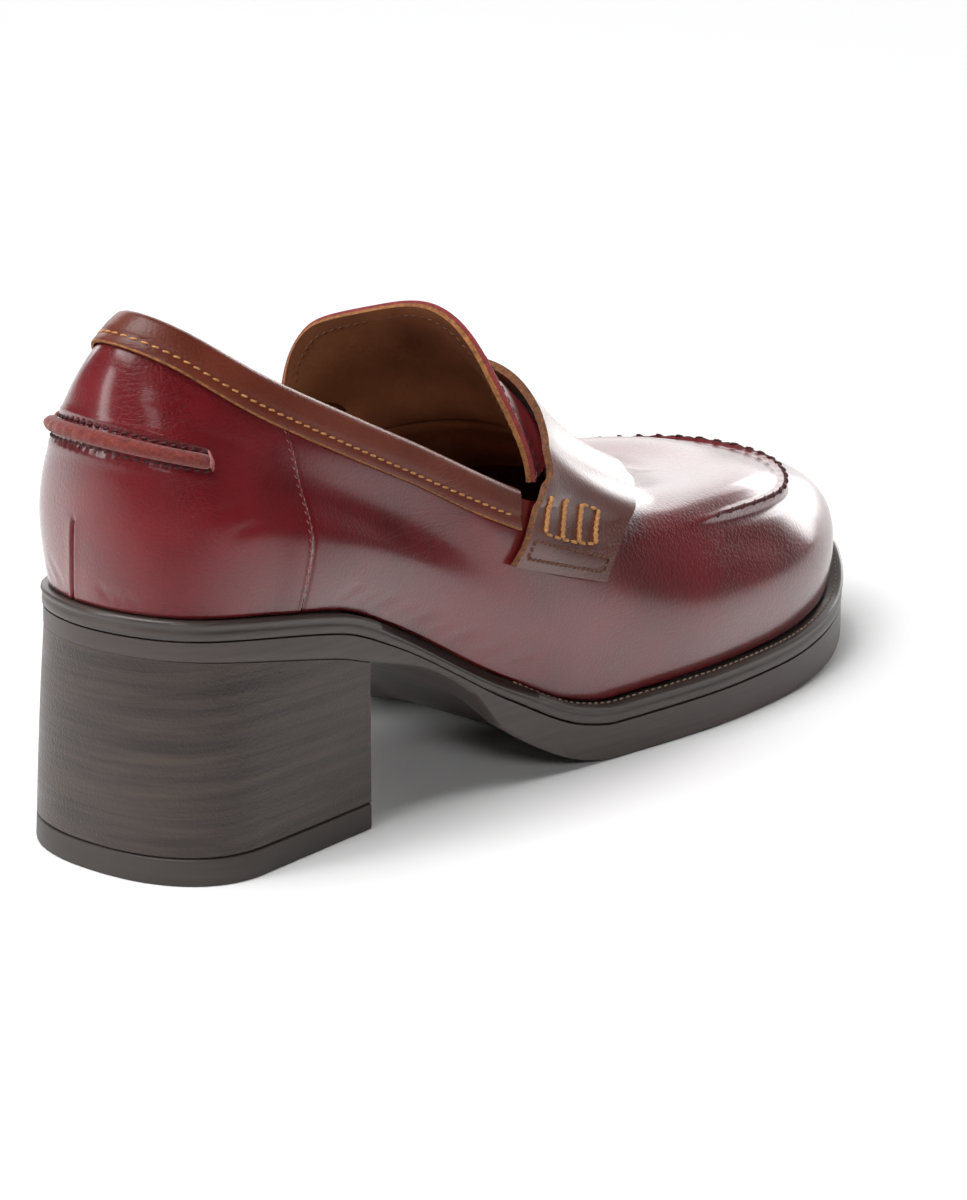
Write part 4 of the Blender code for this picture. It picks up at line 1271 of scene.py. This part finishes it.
# Lights: name, place and target in m, width and height in m, watts
LIGHTS = (
    ("Top softbox", (-0.45, 0.1, 1.3), (0, 0, 0), (0.9, 0.9), 19.0),
    ("Backdrop", (1.7, 1.6, 0.8), (0, 0, 0.08), (3.4, 1.5), 32.0),
    ("Left softbox", (-1.4, 0.5, 0.7), (-0.08, 0, 0.06), (0.4, 0.8), 8.0),
    ("Toe softbox", (1.8, 0.25, 0.4), (0.02, 0, 0.1), (1.1, 0.6), 10.0),
    ("Camera softbox", (-0.9, -1.1, 0.85), (-0.05, 0, 0.08), (0.5, 0.3), 5.0),
)


def make_stage():
    """A pale floor, air that only the camera sees as white, and softboxes."""
    scene = bpy.context.scene
    mesh = bpy.data.meshes.new("studio_floor")
    corners = [(x * FLOOR_HALF, y * FLOOR_HALF, 0) for x, y in ((-1, -1), (1, -1), (1, 1), (-1, 1))]
    mesh.from_pydata(corners, [], [(0, 1, 2, 3)])
    floor = bpy.data.objects.new("studio_floor", mesh)
    scene.collection.objects.link(floor)
    look = bpy.data.materials.new("Pale floor")
    look.use_nodes = True
    shader = look.node_tree.nodes["Principled BSDF"]
    shader.inputs["Base Color"].default_value = FLOOR_TONE
    shader.inputs["Roughness"].default_value = 0.8
    shader.inputs["Specular IOR Level"].default_value = 0.15
    mesh.materials.append(look)
    world = bpy.data.worlds.new("Studio")
    world.use_nodes = True
    tree = world.node_tree
    tree.nodes.clear()
    seen = node(tree, "ShaderNodeLightPath").outputs["Is Camera Ray"]
    bright = stretch(tree, seen, 0.0, 1.0, AIR_AS_LIGHT, AIR_AS_SEEN)
    air = node(tree, "ShaderNodeBackground", {"Color": (1, 1, 1, 1), "Strength": bright})
    node(tree, "ShaderNodeOutputWorld", {"Surface": air.outputs[0]})
    scene.world = world
    for name, place, target, size, watts in LIGHTS:
        lamp = bpy.data.lights.new(name, "AREA")
        lamp.shape, lamp.size, lamp.size_y, lamp.energy = "RECTANGLE", size[0], size[1], watts
        made = bpy.data.objects.new(name, lamp)
        aim = (Vector(target) - Vector(place)).to_track_quat("-Z", "Y")
        made.matrix_world = Matrix.Translation(place) @ aim.to_matrix().to_4x4()
        made.visible_camera = False
        scene.collection.objects.link(made)
    scene.view_settings.view_transform = "Standard"


# The photograph's camera, found from the heel and sole outlines; pixels are the photograph's, and
# VIEW_SCALE brings the lengths found there to the shoe's
PHOTO_SIZE = np.array([967, 1200])
VIEW_AZIMUTH, VIEW_ELEVATION = math.radians(-46.0), math.radians(17.6)
PIXELS_PER_MM, VIEW_DISTANCE, VIEW_SCALE = 4.06, 1771.5, 1.06
HEEL_PIXEL, SHOE_PIXEL = np.array([540.1, 970.7]), np.array([862.0, 755.0])
HEEL_POINT = np.array([2.5, 0.0, 0.0])
SENSOR = 36.0
CLOSER = 1.22  # the one shoe fills the frame


def make_camera():
    """Stands where the photograph's camera stood, turned until the whole shoe is in the middle."""
    level = math.cos(VIEW_ELEVATION)
    east, north = math.cos(VIEW_AZIMUTH), math.sin(VIEW_AZIMUTH)
    right = np.array([east, north, 0.0])
    back = np.array([north * level, -east * level, math.sin(VIEW_ELEVATION)])
    above = np.cross(back, right)
    middle = PHOTO_SIZE / 2
    slide = (HEEL_PIXEL - middle) / PIXELS_PER_MM
    place = (back * VIEW_DISTANCE - right * slide[0] + above * slide[1]) * VIEW_SCALE
    place = (place + HEEL_POINT + MIDDLE) * MM
    focal = PIXELS_PER_MM * VIEW_DISTANCE
    aside = (SHOE_PIXEL - middle) / focal
    ahead = unit(-back + right * aside[0] - above * aside[1])
    right = unit(np.cross(ahead, UPWARDS))
    camera = bpy.data.cameras.new("Photograph camera")
    camera.sensor_fit, camera.sensor_width = "AUTO", SENSOR
    camera.lens = focal / PHOTO_SIZE[1] * SENSOR * CLOSER
    camera.clip_end = 100.0
    made = bpy.data.objects.new("Photograph camera", camera)
    rows = np.stack([right, np.cross(right, ahead), -ahead, place], axis=1).tolist()
    made.matrix_world = Matrix([*rows, [0, 0, 0, 1]])
    bpy.context.scene.collection.objects.link(made)
    bpy.context.scene.camera = made


make_upper()
make_upper_stitches()
make_heel_strip()
make_binding()
make_tongue()
make_strap()
make_midsole()
make_outsole()
make_sock()
make_heel()
make_stage()
make_camera()
